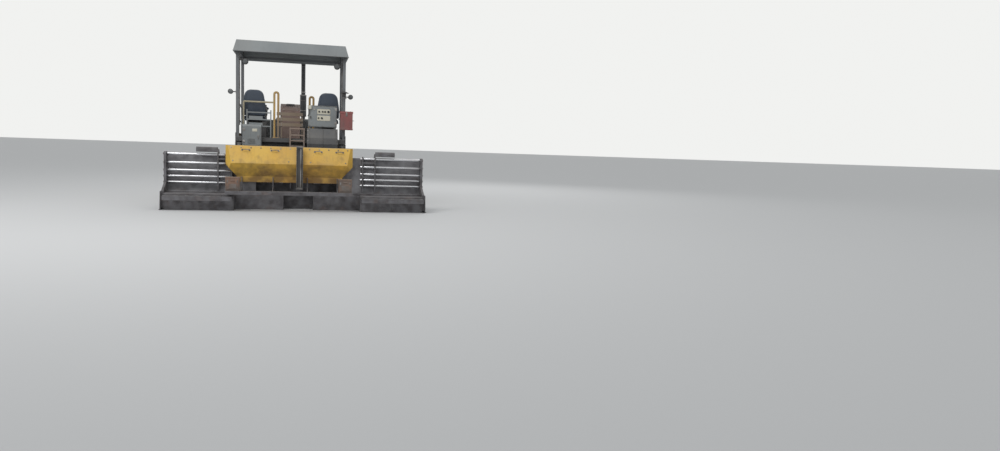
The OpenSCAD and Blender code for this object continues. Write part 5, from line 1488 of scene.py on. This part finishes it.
def dash_fittings():
    """A lid closed over the gauges, and switches and a display on the top."""
    lid, dark, bright = bmesh.new(), bmesh.new(), bmesh.new()
    up, out = Vector((0, 0.6, 0.8)), Vector((0, -0.8, 0.6))
    face = plane_frame(Vector((DASH_X, -0.590, 2.150)), up, out)
    sheet = rectangle((-0.208, -0.043), (0.208, 0.043), 0.012)
    add_slab(lid, sheet, [(0, 0), (0, 0.004), (0.003, 0.006), (0.016, 0.006), (0.018, 0.004)], face)
    add_pipe(bright, [face @ Vector((u, 0.046, 0.003)) for u in (-0.200, 0.200)], 0.004, 10)
    for u in (-0.150, 0.150):
        hinge, half = face @ Vector((u, -0.036, 0.006)), Vector((0.012, 0.004, 0.012))
        add_block(bright, hinge - half, hinge + half, 0.002)
    along = Vector((0, 0.23, 0.08)).normalized()
    facing = Vector((0, -along.z, along.y))
    into = plane_frame(Vector((DASH_X, -0.560, 2.190)), along, facing)
    for k in range(7):
        rocker(dark, into, -0.15 + k * 0.05, 0.05)
    for u in (-0.19, 0.19):
        for v in (0.02, 0.22):
            add_bolt(bright, into @ Vector((u, v, 0)), facing, 0.005)
    screen = rectangle((-0.09, 0.095), (0.09, 0.205), 0.008, 3)
    bezel = [(0, 0), (0, 0.014), (0.004, 0.018), (0.012, 0.018), (0.014, 0.015)]
    add_slab(dark, screen, bezel, into)
    fitting("dash_lid", lid, "dash_skin")
    fitting("dash_controls", dark, "lamp_shell")
    fitting("dash_metal", bright, "worn_steel")


dash_fittings()
print("dash: lid, screen and rockers")

# %% [markdown]
# The machine is steered with a dial on a sloping console, between rocker switches in two columns.
# The dial gets a hub cap and a spinner knob, and beside it stands a hand lever with a gaiter.

# %% Consoles: dials, rockers and levers
SLOPE_LOW = Vector((0, -0.470, 2.120))
SLOPE_HIGH = Vector((0, -0.330, 2.230))
SLOPE_UP = (SLOPE_HIGH - SLOPE_LOW).normalized()
SLOPE_OUT = Vector((0, -SLOPE_UP.z, SLOPE_UP.y))
DIAL_AXIS = Vector((0, -math.sin(math.radians(38)), math.cos(math.radians(38))))
DIAL_TOP = Vector((0, -0.400, 2.180)) + DIAL_AXIS * 0.054
ROCKERS_U, ROCKERS_V = (0.125, 0.160), (0.035, 0.080, 0.125)
LEVER_AXIS = Vector((0, 0.2, 1))
HUB_CAP = [(0.040, 0), (0.038, 0.005), (0.020, 0.009), (0, 0.010)]
DIAL_RIM = [(0.0955, -0.016), (0.099, -0.013), (0.099, -0.005), (0.0955, -0.002)]
SPINNER = [(0.010, 0.010), (0.018, 0.018), (0.019, 0.034), (0.012, 0.042), (0, 0.044)]
GAITER = [(0.030, -0.004), (0.026, 0.006), (0.027, 0.012), (0.019, 0.020), (0.020, 0.026),
          (0.010, 0.036), (0, 0.036)]
KNOB = [(0.006, 0.085), (0.016, 0.095), (0.019, 0.115), (0.015, 0.130), (0, 0.134)]


def console_fittings(label, x):
    into = plane_frame(SLOPE_LOW + AXIS_X * x, SLOPE_UP, SLOPE_OUT)
    dark, bright = bmesh.new(), bmesh.new()
    for side in (-1, 1):
        for column in ROCKERS_U:
            for v in ROCKERS_V:
                rocker(dark, into, side * column, v)
        for v in (0.02, 0.15):
            add_bolt(bright, into @ Vector((side * 0.198, v, 0)), SLOPE_OUT, 0.005)
    hub = DIAL_TOP + AXIS_X * x
    add_turned(dark, HUB_CAP, hub, DIAL_AXIS, 36)
    add_turned(dark, DIAL_RIM, hub, DIAL_AXIS, 48)
    knob = hub + AXIS_X * 0.062
    add_turned(bright, [(0.006, 0), (0.006, 0.012), (0, 0.012)], knob, DIAL_AXIS, 16)
    add_turned(dark, SPINNER, knob, DIAL_AXIS, 28)
    lever = Vector((x + 0.15, -0.262, 2.204))
    add_turned(dark, GAITER, lever, LEVER_AXIS, 28)
    add_pipe(bright, [lever + LEVER_AXIS * h for h in (0.03, 0.09)], 0.005)
    add_turned(dark, KNOB, lever, LEVER_AXIS, 28)
    fitting("console_controls_" + label, dark, "lamp_shell")
    fitting("console_metal_" + label, bright, "chrome")


for label, side in SIDES:
    console_fittings(label, side * SEAT_X)
print("consoles: dial, rockers, lever on each")

# %% [markdown]
# On the floor lies a ribbed rubber mat, cut round the feet of the rails. The rails and posts stand
# on foot plates, and every foot plate has its bolts.

# %% Floor mat and foot bolts
FLOOR_Z = 1.470
MAT_RIBS, MAT_RIBS_FROM, MAT_PITCH = 34, -0.54, 0.0255


def floor_mat():
    bm = bmesh.new()
    loop = rectangle((-0.56, -1.395), (0.33, -0.66), 0.02, 4)
    add_slab(bm, loop, [(0, FLOOR_Z + 0.0006), (0, FLOOR_Z + 0.004), (0.002, FLOOR_Z + 0.005)])
    for k in range(MAT_RIBS):
        x = MAT_RIBS_FROM + k * MAT_PITCH
        add_block(bm, (x, -1.38, FLOOR_Z + 0.0045), (x + 0.010, -0.675, FLOOR_Z + 0.0085), 0.0015)
    fitting("floor_mat", bm, "rubber")


def foot_bolts():
    bm = bmesh.new()
    for x, y in ((-0.320, -1.480), (0.425, -0.900)):
        for dx in (-0.069, 0.069):
            for dy in (-0.029, 0.029):
                add_bolt(bm, (x + dx, y + dy, FLOOR_Z + 0.014), UP, 0.006)
    for side in (-1, 1):
        for y in (-1.513, -0.137):
            for dy in (-0.026, 0.026):
                add_bolt(bm, (side * 1.050, y + dy, FLOOR_Z + 0.016), UP, 0.009)
    fitting("foot_bolts", bm, "worn_steel")


floor_mat()
foot_bolts()
print("floor mat and foot bolts")

# %% [markdown]
# The canopy is pressed sheet: its lower edge is rolled, rivets hold the corners, and lamp cables
# climb the rear posts in bright conduit. The conduit shows as a light stripe between the posts.

# %% Canopy edge, rivets and conduit
RIM_INSET, RIM_RISE = 0.004, 0.005
FASCIA_HEIGHT, FASCIA_SHIFT = 0.240, 0.066
RIVETS, RIVETS_FROM, RIVET_PITCH = 12, -1.10, 0.2
CONDUIT_X, CONDUIT_Y = 1.068, -1.500


def canopy_trim():
    low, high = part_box("canopy_roof")
    rim, rivets, conduit = bmesh.new(), bmesh.new(), bmesh.new()
    x0, y0, x1, y1 = low.x + RIM_INSET, low.y + RIM_INSET, high.x - RIM_INSET, high.y - RIM_INSET
    z = low.z + RIM_RISE
    corners = [(x0, y0, z), (x1, y0, z), (x1, y1, z), (x0, y1, z)]
    for here, after in zip(corners, corners[1:] + corners[:1]):
        add_pipe(rim, [here, after], 0.0075, 12)
    lean = math.atan2(FASCIA_SHIFT, FASCIA_HEIGHT)
    for k in range(RIVETS):
        x = RIVETS_FROM + k * RIVET_PITCH
        for y, face in ((low.y, -1), (high.y, 1)):
            for h in (0.022, 0.215):
                shift = h * FASCIA_SHIFT / FASCIA_HEIGHT
                at = (x * (1 - shift), y - face * shift, low.z + h)
                add_turned(rivets, [(0.006, 0), (0.005, 0.002), (0, 0.003)], at,
                           (0, face * math.cos(lean), math.sin(lean)), 12)
    for side in (-1, 1):
        x, y = side * CONDUIT_X, CONDUIT_Y
        add_pipe(conduit, [(x, y, FLOOR_Z + 0.25), (x, y, 2.60), (x, y, 3.24)], 0.009)
        for z in (1.75, 2.10, 2.50, 2.90, 3.18):
            add_turned(conduit, band(0.0095, 0.0125, 0.008), (x, y, z), UP, 20)
    fitting("canopy_rim", rim, "grey_paint")
    fitting("canopy_rivets", rivets, "grey_paint", smooth_below=60)
    fitting("post_conduit", conduit, "worn_steel")


canopy_trim()
print("canopy trim")

# %% [markdown]
# Hot gas has to leave high above the platform. The silencer is banded to the stack, and the mouth
# of the outlet is sooty and in shade inside. A dark disc sits a little within a rolled lip as
# painted shade and soot.

# %% Exhaust: bands, clamp and mouth
STACK_X, STACK_Y = 0.240, 0.330
ELBOW_TURN, ELBOW_R, ELBOW_Z = math.radians(70), 0.110, 3.150
LIP = [(0.0482, -0.006), (0.051, -0.004), (0.051, 0.003), (0.046, 0.004), (0.043, 0.001)]


def exhaust_fittings():
    x, y = STACK_X, STACK_Y
    bands, soot_and_shade = bmesh.new(), bmesh.new()
    for z in (2.035, 2.160, 2.400, 2.525):
        add_turned(bands, band(0.0745, 0.0765, 0.010, 0.001), (x, y, z), UP, 48)
    for z in (1.955, 2.600):
        add_turned(bands, band(0.0485, 0.052, 0.012), (x, y, z), UP, 40)
        add_bolt(bands, (x + 0.052, y, z), AXIS_X, 0.007)
    for spot in ring_of(4, (x, y, 1.916), 0.076, AXIS_X, AXIS_Y, EIGHTH_TURN):
        add_bolt(bands, spot, UP, 0.008)
    rise, back = math.sin(ELBOW_TURN), 1 - math.cos(ELBOW_TURN)
    mouth = Vector((x, y - ELBOW_R * back, ELBOW_Z + ELBOW_R * rise))
    axis = Vector((0, -rise, math.cos(ELBOW_TURN)))
    add_turned(bands, LIP, mouth, axis, 40)
    # a dark disc across the mouth: painted shade and soot for the inside of the pipe
    add_turned(soot_and_shade, [(0.0435, 0.0008), (0, 0.0008)], mouth, axis, 40)
    fitting("exhaust_bands", bands, "worn_steel")
    fitting("exhaust_soot", soot_and_shade, "rubber")


exhaust_fittings()
print("exhaust bands and mouth")

# %% [markdown]
# Under the fenders a track is forty links on pins, and the pin heads give the chain its rhythm.
# Rollers end in caps on the side plates, and the drive hub carries a ring of bolts. The pins'
# places follow from the same loop that the links were laid on.

# %% Tracks: link pins, caps and hubs
AXLE_Z, TRACK_MID_Y, TRACK_HALF, WHEEL_R = 0.344, -0.010, 1.0, 0.280
LINKS, PIN_RADIUS_AT = 40, WHEEL_R - 0.029
SIDE_PLATE_X = TRACK_X + 0.118


def loop_point(share):
    """A point on the chain's middle line, share of the way round, as (y, z)."""
    straight, turn = 2 * TRACK_HALF, math.pi * WHEEL_R
    at = share * 2 * (straight + turn)
    if at < straight:
        y, z = TRACK_HALF - at, -PIN_RADIUS_AT
    elif at < straight + turn:
        angle = (at - straight) / WHEEL_R
        y, z = -TRACK_HALF - PIN_RADIUS_AT * math.sin(angle), -PIN_RADIUS_AT * math.cos(angle)
    elif at < 2 * straight + turn:
        y, z = at - 3 * TRACK_HALF - turn, PIN_RADIUS_AT
    else:
        angle = (at - 2 * straight - turn) / WHEEL_R
        y, z = TRACK_HALF + PIN_RADIUS_AT * math.sin(angle), PIN_RADIUS_AT * math.cos(angle)
    return TRACK_MID_Y + y, AXLE_Z + z


def track_fittings(label, side):
    pins, caps = bmesh.new(), bmesh.new()
    head = [(0.015, 0), (0.015, 0.0015), (0.011, 0.0035), (0, 0.0035)]
    for k in range(LINKS):
        y, z = loop_point(k / LINKS)
        for face in (-1, 1):
            add_turned(pins, head, (side * TRACK_X + face * 0.050, y, z), (face, 0, 0), 14)
    cap = [(0.030, 0), (0.030, 0.006), (0.024, 0.010), (0.010, 0.010), (0.008, 0.014), (0, 0.014)]
    for k in range(-2, 3):
        at = (side * SIDE_PLATE_X, TRACK_MID_Y + k * 0.270, 0.210)
        add_turned(caps, cap, at, (side, 0, 0), 28)
    idler = (side * (TRACK_X + 0.130), TRACK_MID_Y + TRACK_HALF, AXLE_Z)
    idler_cap = [(0.047, 0), (0.045, 0.006), (0.020, 0.009), (0, 0.009)]
    add_turned(caps, idler_cap, idler, (side, 0, 0), 36)
    hub = Vector((side * (TRACK_X + 0.142), TRACK_MID_Y - TRACK_HALF, AXLE_Z))
    hub_cap = [(0.040, 0), (0.040, 0.008), (0.032, 0.011), (0, 0.011)]
    add_turned(caps, hub_cap, hub, (side, 0, 0), 36)
    for spot in ring_of(10, hub, 0.072, AXIS_Y, UP):
        add_bolt(caps, spot, (side, 0, 0), 0.009)
    for y in (-0.25, 0.18):
        for z in (0.375, 0.415):
            add_bolt(caps, (side * SIDE_PLATE_X, y, z), (side, 0, 0), 0.009)
    fitting("track_pins_" + label, pins, "worn_steel")
    fitting("hub_caps_" + label, caps, "dark_paint")


for label, side in SIDES:
    track_fittings(label, side)
print("track pin heads:", LINKS * 4)

# %% [markdown]
# The screed is towed by two arms and hung on two cylinders. Their pins have keeper plates, and
# the cylinders have a bolted gland where the rod leaves and a port block with its pipe. Each
# fitting rides on the part that it is screwed to, so it moves with it.

# %% Tow arms and lift cylinders
ARM_OUTER_X = 1.231
ARM_BOLTS = [(-1.500, 0.700), (-1.640, 0.710), (-1.860, 0.660), (-1.908, 0.300), (-1.908, 0.160)]
TOW = (0.300, 0.520)
LIFT_X = 1.080
LIFT_EYE = Vector((0, -1.700, 0.660))
LIFT_TOP = Vector((0, -1.500, 1.330))
LIFT_AXIS = (LIFT_TOP - LIFT_EYE).normalized()
LIFT_BACK = Vector((0, -LIFT_AXIS.z, LIFT_AXIS.y))
BARREL_FROM = (LIFT_TOP - LIFT_EYE).length - 0.350


def tow_fittings(label, side):
    arm, tower = bmesh.new(), bmesh.new()
    for y, z in ARM_BOLTS:
        add_bolt(arm, (side * ARM_OUTER_X, y, z), (side, 0, 0), 0.014)
    eye = LIFT_EYE + AXIS_X * (side * (LIFT_X - 0.042))
    pin_head = [(0.019, 0), (0.023, 0.001), (0.023, 0.005), (0, 0.006)]
    add_turned(arm, pin_head, eye, (-side, 0, 0), 24)
    cap_x = side * 1.243
    tow_cap = [(0.054, 0), (0.052, 0.005), (0.020, 0.007), (0, 0.007)]
    add_turned(tower, tow_cap, (cap_x, *TOW), (side, 0, 0), 36)
    for spot in ring_of(3, (cap_x + side * 0.0055, *TOW), 0.036, AXIS_Y, UP, math.pi / 2):
        add_bolt(tower, spot, (side, 0, 0), 0.007)
    ring = [(0.034, -0.010), (0.040, -0.008), (0.040, 0.010), (0.034, 0.012)]
    add_turned(tower, ring, (side * 1.198, TOW[0], 0.668), UP, 32)
    keeper = sorted((side * (LIFT_X + 0.075), side * (LIFT_X + 0.080)))
    add_block(tower, (keeper[0], LIFT_TOP.y - 0.024, 1.296),
              (keeper[1], LIFT_TOP.y + 0.050, 1.364), 0.001)
    for z in (1.310, 1.350):
        add_bolt(tower, (side * (LIFT_X + 0.080), LIFT_TOP.y + 0.037, z), (side, 0, 0), 0.008)
    fitting("arm_bolts_" + label, arm, "worn_steel", "screed")
    fitting("tow_caps_" + label, tower, "dark_paint")


def lift_fittings():
    bm = bmesh.new()
    for side in (-1, 1):
        gland = LIFT_EYE + AXIS_X * (side * LIFT_X) + LIFT_AXIS * BARREL_FROM
        ring = [(0.028, -0.003), (0.049, -0.003), (0.051, 0.003), (0.051, 0.020), (0.0482, 0.022)]
        add_turned(bm, ring, gland, LIFT_AXIS, 40)
        for spot in ring_of(6, gland - LIFT_AXIS * 0.003, 0.040, AXIS_X, LIFT_BACK):
            add_bolt(bm, spot, -LIFT_AXIS, 0.005)
        port = gland + LIFT_AXIS * 0.060 + LIFT_BACK * 0.046
        nut = [(0.014, 0), (0.014, 0.010), (0.009, 0.012), (0.009, 0.022), (0, 0.022)]
        add_turned(bm, nut, port, LIFT_BACK, 6)
        turn = port + LIFT_BACK * 0.036
        add_pipe(bm, bend([port + LIFT_BACK * 0.018, turn, turn + LIFT_AXIS * 0.115], 0.012), 0.006)
    fitting("lift_glands", bm, "worn_steel", "lift_barrels")


for label, side in SIDES:
    tow_fittings(label, side)
lift_fittings()
print("lift cylinders lean", round(math.degrees(math.asin(LIFT_AXIS.y)), 1), "degrees")

# %% [markdown]
# Each end of the screed has a gate that keeps the mix in. A screw with a crank sets the gate's
# height and stands in a bracket on the outer frame.

# %% Screed ends: gate screws
SCREW_Y, SCREW_FOOT, SCREW_THREADS, THREAD_PITCH = -2.350, 0.381, 30, 0.009
CRANK_REACH = 0.075


def gate_screw(bm, x, side):
    """The screw over the end gate, with its crank pointing forwards."""
    y, grip_y = SCREW_Y, SCREW_Y + CRANK_REACH
    low_x, high_x = sorted((x - side * 0.034, x + side * 0.014))
    for z in (0.470, 0.560):
        add_block(bm, (low_x, -2.424, z), (high_x, -2.330, z + 0.016), 0.003)
    thread = [(r, SCREW_FOOT + k * THREAD_PITCH + rise) for k in range(SCREW_THREADS)
              for r, rise in ((0.0080, 0), (0.0098, THREAD_PITCH / 2))]
    add_turned(bm, [(0, SCREW_FOOT)] + thread + [(0, 0.652)], (x, y, 0), UP, 16)
    add_turned(bm, disc(0.018, 0.014), (x, y, 0.586), UP, 6)
    crank = [(x, y, 0.650), (x, y, 0.675), (x, grip_y, 0.675), (x, grip_y, 0.702)]
    add_pipe(bm, bend(crank, 0.010), 0.007)
    grip = [(0, 0), (0.011, 0.001), (0.014, 0.020), (0.014, 0.055), (0.010, 0.070), (0, 0.072)]
    add_turned(bm, grip, (x, grip_y, 0.698), UP, 20)


print("gate screws are", round(SCREW_THREADS * THREAD_PITCH, 3), "long")

# %% [markdown]
# Covers close the heating elements at the back of the outer boxes. Lips along their tops keep mix
# off the gap under the upright plates, and the box over the tubes keeps its hoses behind a lid.
# The boxes at the footboard's ends have hinges and louvres.

# %% Screed ends: heater covers, hose boxes and end boxes
REACH = {"left": 2.404, "right": 2.724}
SCREED_REAR = -2.922
HOSE_BOX_REAR = -2.585
HEATER_COVERS, COVER_PITCH, COVER_WIDTH = 3, 0.300, 0.270


def x_range(side, near, far):
    """Two distances from the machine's middle, as the low and the high x on that side."""
    return sorted((side * near, side * far))


def screed_end(label, side):
    steel, covers, lid = bmesh.new(), bmesh.new(), bmesh.new()
    end, inner_out, outer_out = REACH[label], *STAGE_OUT[label]
    gate_screw(steel, side * (end + 0.0075), side)
    for k in range(HEATER_COVERS):
        far = end - 0.100 - k * COVER_PITCH
        low_x, high_x = x_range(side, far - COVER_WIDTH, far)
        add_block(covers, (low_x, SCREED_REAR - 0.004, 0.045), (high_x, SCREED_REAR + 0.001, 0.175),
                  0.001)
        corners = (low_x + 0.014, high_x - 0.014)
        bolt_grid(steel, corners, SCREED_REAR - 0.004, (0.058, 0.162), 0.007)
    wall = HALF_BASE + inner_out + PLATE_GAP + PLATE
    low_x, high_x = x_range(side, wall + 0.022, wall + 0.378)
    lid_face = HOSE_BOX_REAR - 0.003
    add_block(lid, (low_x, lid_face, 1.146), (high_x, HOSE_BOX_REAR + 0.001, 1.206), 0.001)
    lid_bolts = [side * (wall + 0.040 + k * 0.107) for k in range(4)]
    bolt_grid(lid, lid_bolts, lid_face, (1.153, 1.199), 0.006)
    low_x, high_x = x_range(side, inner_out + outer_out + 0.010, end - 0.050)
    add_block(covers, (low_x, -2.674, 0.328), (high_x, -2.664, 0.362), 0.002)
    low_x, high_x = x_range(side, inner_out + 0.010, wall - 0.035)
    add_block(lid, (low_x, -2.590, 0.328), (high_x, -2.582, 0.366), 0.002)
    fitting("gate_screw_" + label, steel, "worn_steel", "outer_stage_" + label)
    fitting("heater_covers_" + label, covers, "stained_steel", "outer_stage_" + label)
    fitting("hose_box_lid_" + label, lid, "stained_steel", "inner_stage_" + label)


def burner_boxes():
    bm = bmesh.new()
    panel_y = -3.105
    for side in (-1, 1):
        middle = side * 1.081
        for x in (middle - 0.093, middle + 0.093):
            add_block(bm, (x - 0.011, panel_y - 0.006, 0.560), (x + 0.011, panel_y + 0.001, 0.610),
                      0.002)
            add_bolt(bm, (x, panel_y - 0.006, 0.572), BACKWARDS, 0.004)
            add_bolt(bm, (x, panel_y, 0.440), BACKWARDS, 0.0045)
        for k in range(4):
            z = 0.462 + k * 0.022
            add_pipe(bm, [(middle - 0.070, panel_y, z), (middle + 0.070, panel_y, z)], 0.005, 8)
    fitting("burner_box_fittings", bm, "worn_steel", "screed")


for label, side in SIDES:
    screed_end(label, side)
burner_boxes()
print("gate screws at x", [round(REACH[label] + 0.0075, 4) for label in REACH])

# %% [markdown]
# The hood breathes through slots in its front and top and through louvres in its doors. Behind
# the slots stands a guard of upright wires, and behind the wires a dark plate is painted shade for
# the inside of the hood. Each louvre has a blade that leans outwards and down, so that rain runs
# off. The blades and latches are on the doors and swing with them.

# %% Hood: guard wires over painted shade, louvre blades and latches
FACING_BACK = Matrix(((1, 0, 0, 0), (0, 0, -1, 0), (0, 1, 0, 0), (0, 0, 0, 1)))
DOOR_FACE_X = 0.828
LOUVRES, LOUVRE_LOW, LOUVRE_PITCH = 9, 1.160, 0.0489
FRONT_WIRES, TOP_WIRES, WIRE_PITCH, WIRE_R = 57, 34, 0.020, 0.0025


def hood_guard_and_shade():
    bm = bmesh.new()
    for k in range(FRONT_WIRES):
        x = -0.560 + k * WIRE_PITCH
        add_pipe(bm, [(x, 1.164, 1.346), (x, 1.164, 1.764)], WIRE_R, 6)
    # a dark plate behind the front wires: painted shade for the space inside the hood
    add_block(bm, (-0.575, 1.148, 1.345), (0.575, 1.156, 1.765), 0.002)
    for k in range(TOP_WIRES):
        x = -0.330 + k * WIRE_PITCH
        add_pipe(bm, [(x, 0.640, 1.880), (x, 1.030, 1.880)], WIRE_R, 6)
    # a dark plate under the top wires: painted shade for the space inside the hood
    add_block(bm, (-0.350, 0.640, 1.868), (0.350, 1.030, 1.874), 0.002)
    fitting("hood_guard_and_shade", bm, "rubber")


def door_fittings(label, side):
    bm = bmesh.new()
    for k in range(LOUVRES):
        z = LOUVRE_LOW + k * LOUVRE_PITCH
        section = [(0.806, z + 0.020), (0.827, z + 0.001), (0.827, z + 0.004), (0.806, z + 0.023)]
        loop = [Vector((side * u, v)) for u, v in (section if side > 0 else reversed(section))]
        add_slab(bm, loop, [(0, -1.003), (0, -0.507)], into=FACING_BACK)
    for z in (1.180, 1.570):
        latch = [(0.015, 0), (0.015, 0.003), (0.010, 0.005), (0.010, 0.008), (0, 0.008)]
        add_turned(bm, latch, (side * DOOR_FACE_X, 0.056, z), (side, 0, 0), 24)
    fitting("hood_blades_" + label, bm, "dark_paint", "hood_door_" + label)


hood_guard_and_shade()
for label, side in SIDES:
    door_fittings(label, side)
print("louvre blades:", 2 * LOUVRES)

# %% [markdown]
# The hopper folds up on two cylinders. Bolt heads along its walls hold the wear plates, a strip
# clamps the rubber apron, and flanges hold the push rollers' shafts. The augers' paddles are
# clamped to the shaft with bolts that follow the helix round.

# %% Hopper, push rollers and augers
WING_AXIS = Vector((0.290, 0, 0.260)).normalized()
AUGER = (-1.620, 0.400)
AUGER_IN, AUGER_OUT, AUGER_TURNS, SHAFT_R = 0.075, 1.120, 3.5, 0.042
CLAMPS = 14
WEAR_BOLTS, WEAR_ROWS = 7, (0.860, 1.030)


def wing_fittings(label, side):
    heads, ring = bmesh.new(), bmesh.new()
    for k in range(WEAR_BOLTS):
        for z in WEAR_ROWS:
            add_bolt(heads, (side * 1.245, 1.340 + k * 0.180, z), (side, 0, 0), 0.010)
    axis = Vector((side * WING_AXIS.x, 0, WING_AXIS.z))
    gland = Vector((side * 0.858, 2.080, 0.372)) + axis * (0.3895 - 0.078)
    nut = [(0.020, -0.001), (0.036, -0.001), (0.036, 0.003), (0.030, 0.006), (0.020, 0.006)]
    add_turned(ring, nut, gland, axis, 32)
    port = gland - axis * 0.150 + AXIS_Y * 0.036
    screw = [(0.012, 0), (0.012, 0.010), (0.008, 0.012), (0.008, 0.018), (0, 0.018)]
    add_turned(ring, screw, port, AXIS_Y, 6)
    fitting("wear_bolts_" + label, heads, "worn_steel", "wing_" + label)
    fitting("wing_gland_" + label, ring, "worn_steel", "wing_barrel_" + label)


def apron_strip():
    bm = bmesh.new()
    foot = Vector((0, 2.720, 0.5453))
    up = (Vector((0, 2.780, 0.760)) - foot).normalized()
    out = Vector((0, up.z, -up.y))
    across = up.cross(out)
    face = Matrix((across, up, out)).transposed().to_4x4()
    face.translation = foot
    loop = rectangle((-0.755, 0.030), (0.755, 0.072), 0.004)
    add_slab(bm, loop, [(0, -0.001), (0, 0.005), (0.001, 0.006)], into=face)
    for k in range(9):
        add_bolt(bm, face @ Vector((-0.720 + k * 0.180, 0.051, 0.0055)), out, 0.010)
    fitting("apron_strip", bm, "worn_steel")


def roller_flanges():
    bm = bmesh.new()
    for side in (-1, 1):
        for x, face in ((0.210, -1), (0.904, 1)):
            at = Vector((side * x, 2.990, 0.480))
            outward = AXIS_X * (side * face)
            flange = [(0.040, 0), (0.040, 0.005), (0.030, 0.007), (0, 0.007)]
            add_turned(bm, flange, at, outward, 32)
            for spot in ring_of(4, at + outward * 0.005, 0.034, AXIS_Y, UP, EIGHTH_TURN):
                add_bolt(bm, spot, outward, 0.004)
    fitting("roller_flanges", bm, "dark_paint")


def auger_clamps(label, side):
    bm = bmesh.new()
    length = AUGER_OUT - AUGER_IN - 0.024
    for k in range(CLAMPS):
        share = (k + 0.5) / CLAMPS
        angle = 2 * math.pi * AUGER_TURNS * share
        away = Vector((0, -math.sin(angle), math.cos(angle)))
        middle = Vector((side * (AUGER_IN + 0.012 + share * length), *AUGER))
        add_bolt(bm, middle + away * (SHAFT_R - 0.0005), away, 0.011)
    fitting("auger_clamps_" + label, bm, "worn_steel", "auger_" + label)


for label, side in SIDES:
    wing_fittings(label, side)
    auger_clamps(label, side)
apron_strip()
roller_flanges()
print("bolt heads on a wing:", WEAR_BOLTS * len(WEAR_ROWS))

# %% [markdown]
# The tanks sit between fender and platform. Each has a bolted inspection cover, the fuel tank
# also a sight tube between two elbows. Ribs on the boarding steps and on the ladder's rungs give
# grip, and the sloping casing beside the ladder is held by bolts along its sides.

# %% Tanks, ladder and rear casing
TANK_X, STEP_Z = 1.147, (1.120, 1.270)
LADDER_REAR = -1.6203
CASING = [Vector((0, y, z)) for y, z in (
    (-1.6303, 1.020), (-1.7103, 1.370), (-1.6903, 1.500), (-1.5903, 1.705))]


def tank_fittings(label, side):
    cover, steel = bmesh.new(), bmesh.new()
    face = Matrix((AXIS_Y * side, UP, AXIS_X * side)).transposed().to_4x4()
    face.translation = (side * TANK_X, -0.930, 1.190)
    plate = rectangle((-0.150, -0.100), (0.150, 0.100), 0.03)
    add_slab(cover, plate, [(0, -0.001), (0, 0.003), (0.002, 0.004)], face)
    for u in (-0.132, 0, 0.132):
        for v in (-0.083, 0.083):
            add_bolt(steel, face @ Vector((u, v, 0.0035)), (side, 0, 0), 0.006)
    for z in STEP_Z:
        for k in range(6):
            x = side * (1.035 + k * 0.020)
            add_pipe(steel, [(x, -0.550, z), (x, -0.270, z)], 0.003, 8)
    if side < 0:
        sight = [(x, -1.240, z) for x, z in ((-1.145, 1.080), (-1.154, 1.080), (-1.154, 1.310),
                                             (-1.145, 1.310))]
        add_pipe(steel, bend(sight, 0.004, 3), 0.0035, 10)
        for z in (1.080, 1.310):
            add_bolt(steel, (-TANK_X, -1.240, z), (side, 0, 0), 0.011)
    fitting("tank_cover_" + label, cover, "yellow_paint")
    fitting("tank_metal_" + label, steel, "worn_steel")


def ladder_and_casing():
    grips, bolts = bmesh.new(), bmesh.new()
    for z in (1.076, 1.196, 1.316, 1.436, 1.556):
        for k in range(3):
            y = LADDER_REAR + 0.009 + k * 0.011
            add_pipe(grips, [(-0.006, y, z), (0.246, y, z)], 0.0028, 8)
    bolt_grid(bolts, (-0.025, 0.265), LADDER_REAR, (1.035, 1.350, 1.660), 0.008)
    for low, high, shares in zip(CASING, CASING[1:], ((0.2, 0.5, 0.8), (0.5,), (0.3, 0.75))):
        run = (high - low).normalized()
        for share in shares:
            for x in (0.347, 0.963):
                spot = low.lerp(high, share) + AXIS_X * x
                add_bolt(bolts, spot, (0, -run.z, run.y), 0.008)
    for z in (1.730, 1.845, 1.960):
        bolt_grid(bolts, (-0.213, 0.222), -1.500, (z + 0.018, z + 0.052), 0.007)
    fitting("casing_bolts", bolts, "worn_steel")
    fitting("ladder_grips", grips, "pale_primer")


for label, side in SIDES:
    tank_fittings(label, side)
ladder_and_casing()
print("tank covers, ladder grips, casing bolts")

# %% [markdown]
# The footboards are walked on, so rows of raised buttons are pressed into them. The outer boards
# slide under the main one, so their buttons are lower than the gap. Bolts hold the main board to
# its brackets and the dark channel to the cover.

# %% Footboards and centre post
BOARD_Z, OUTER_BOARD_Z = 0.398, 0.286
EDGE_PITCH, GROUP_PITCH = 0.050, 0.200


def button(bm, x, y, z):
    dome = [(0.009, -0.001), (0.007, 0.0025), (0.004, 0.0035), (0, 0.0035)]
    add_turned(bm, dome, (x, y, z), UP, 12)


def main_board():
    bm = bmesh.new()
    for k in range(9):
        for y in (-3.075, -3.052, -3.029):
            button(bm, -0.800 + k * GROUP_PITCH, y, BOARD_Z)
    for k in range(48):
        button(bm, -1.175 + k * EDGE_PITCH, -3.124, BOARD_Z)
    for x in (-0.890, -0.385, -0.290, 0.290, 0.385, 0.890):
        add_bolt(bm, (x, -2.977, BOARD_Z), UP, 0.009)
    for k in range(7):
        for x in (0.127, 0.243):
            add_bolt(bm, (x, -2.8603, 0.500 + k * 0.125), BACKWARDS, 0.005)
    fitting("board_buttons", bm, "worn_steel", "screed")


def outer_board(label, side):
    bm = bmesh.new()
    first = STAGE_OUT[label][0] + STAGE_OUT[label][1] + 0.040
    for k in range(24):
        for y in (-3.112, -2.942):
            button(bm, side * (first + k * EDGE_PITCH), y, OUTER_BOARD_Z)
    for k in range(5):
        for y in (-3.06, -3.03, -3.00):
            button(bm, side * (first + 0.216 + k * GROUP_PITCH), y, OUTER_BOARD_Z)
    fitting("outer_board_buttons_" + label, bm, "worn_steel", "outer_stage_" + label)


main_board()
for label, side in SIDES:
    outer_board(label, side)
print("buttons on three footboards")

# %% [markdown]
# The dressed machine should be as large as the solids it is built on.
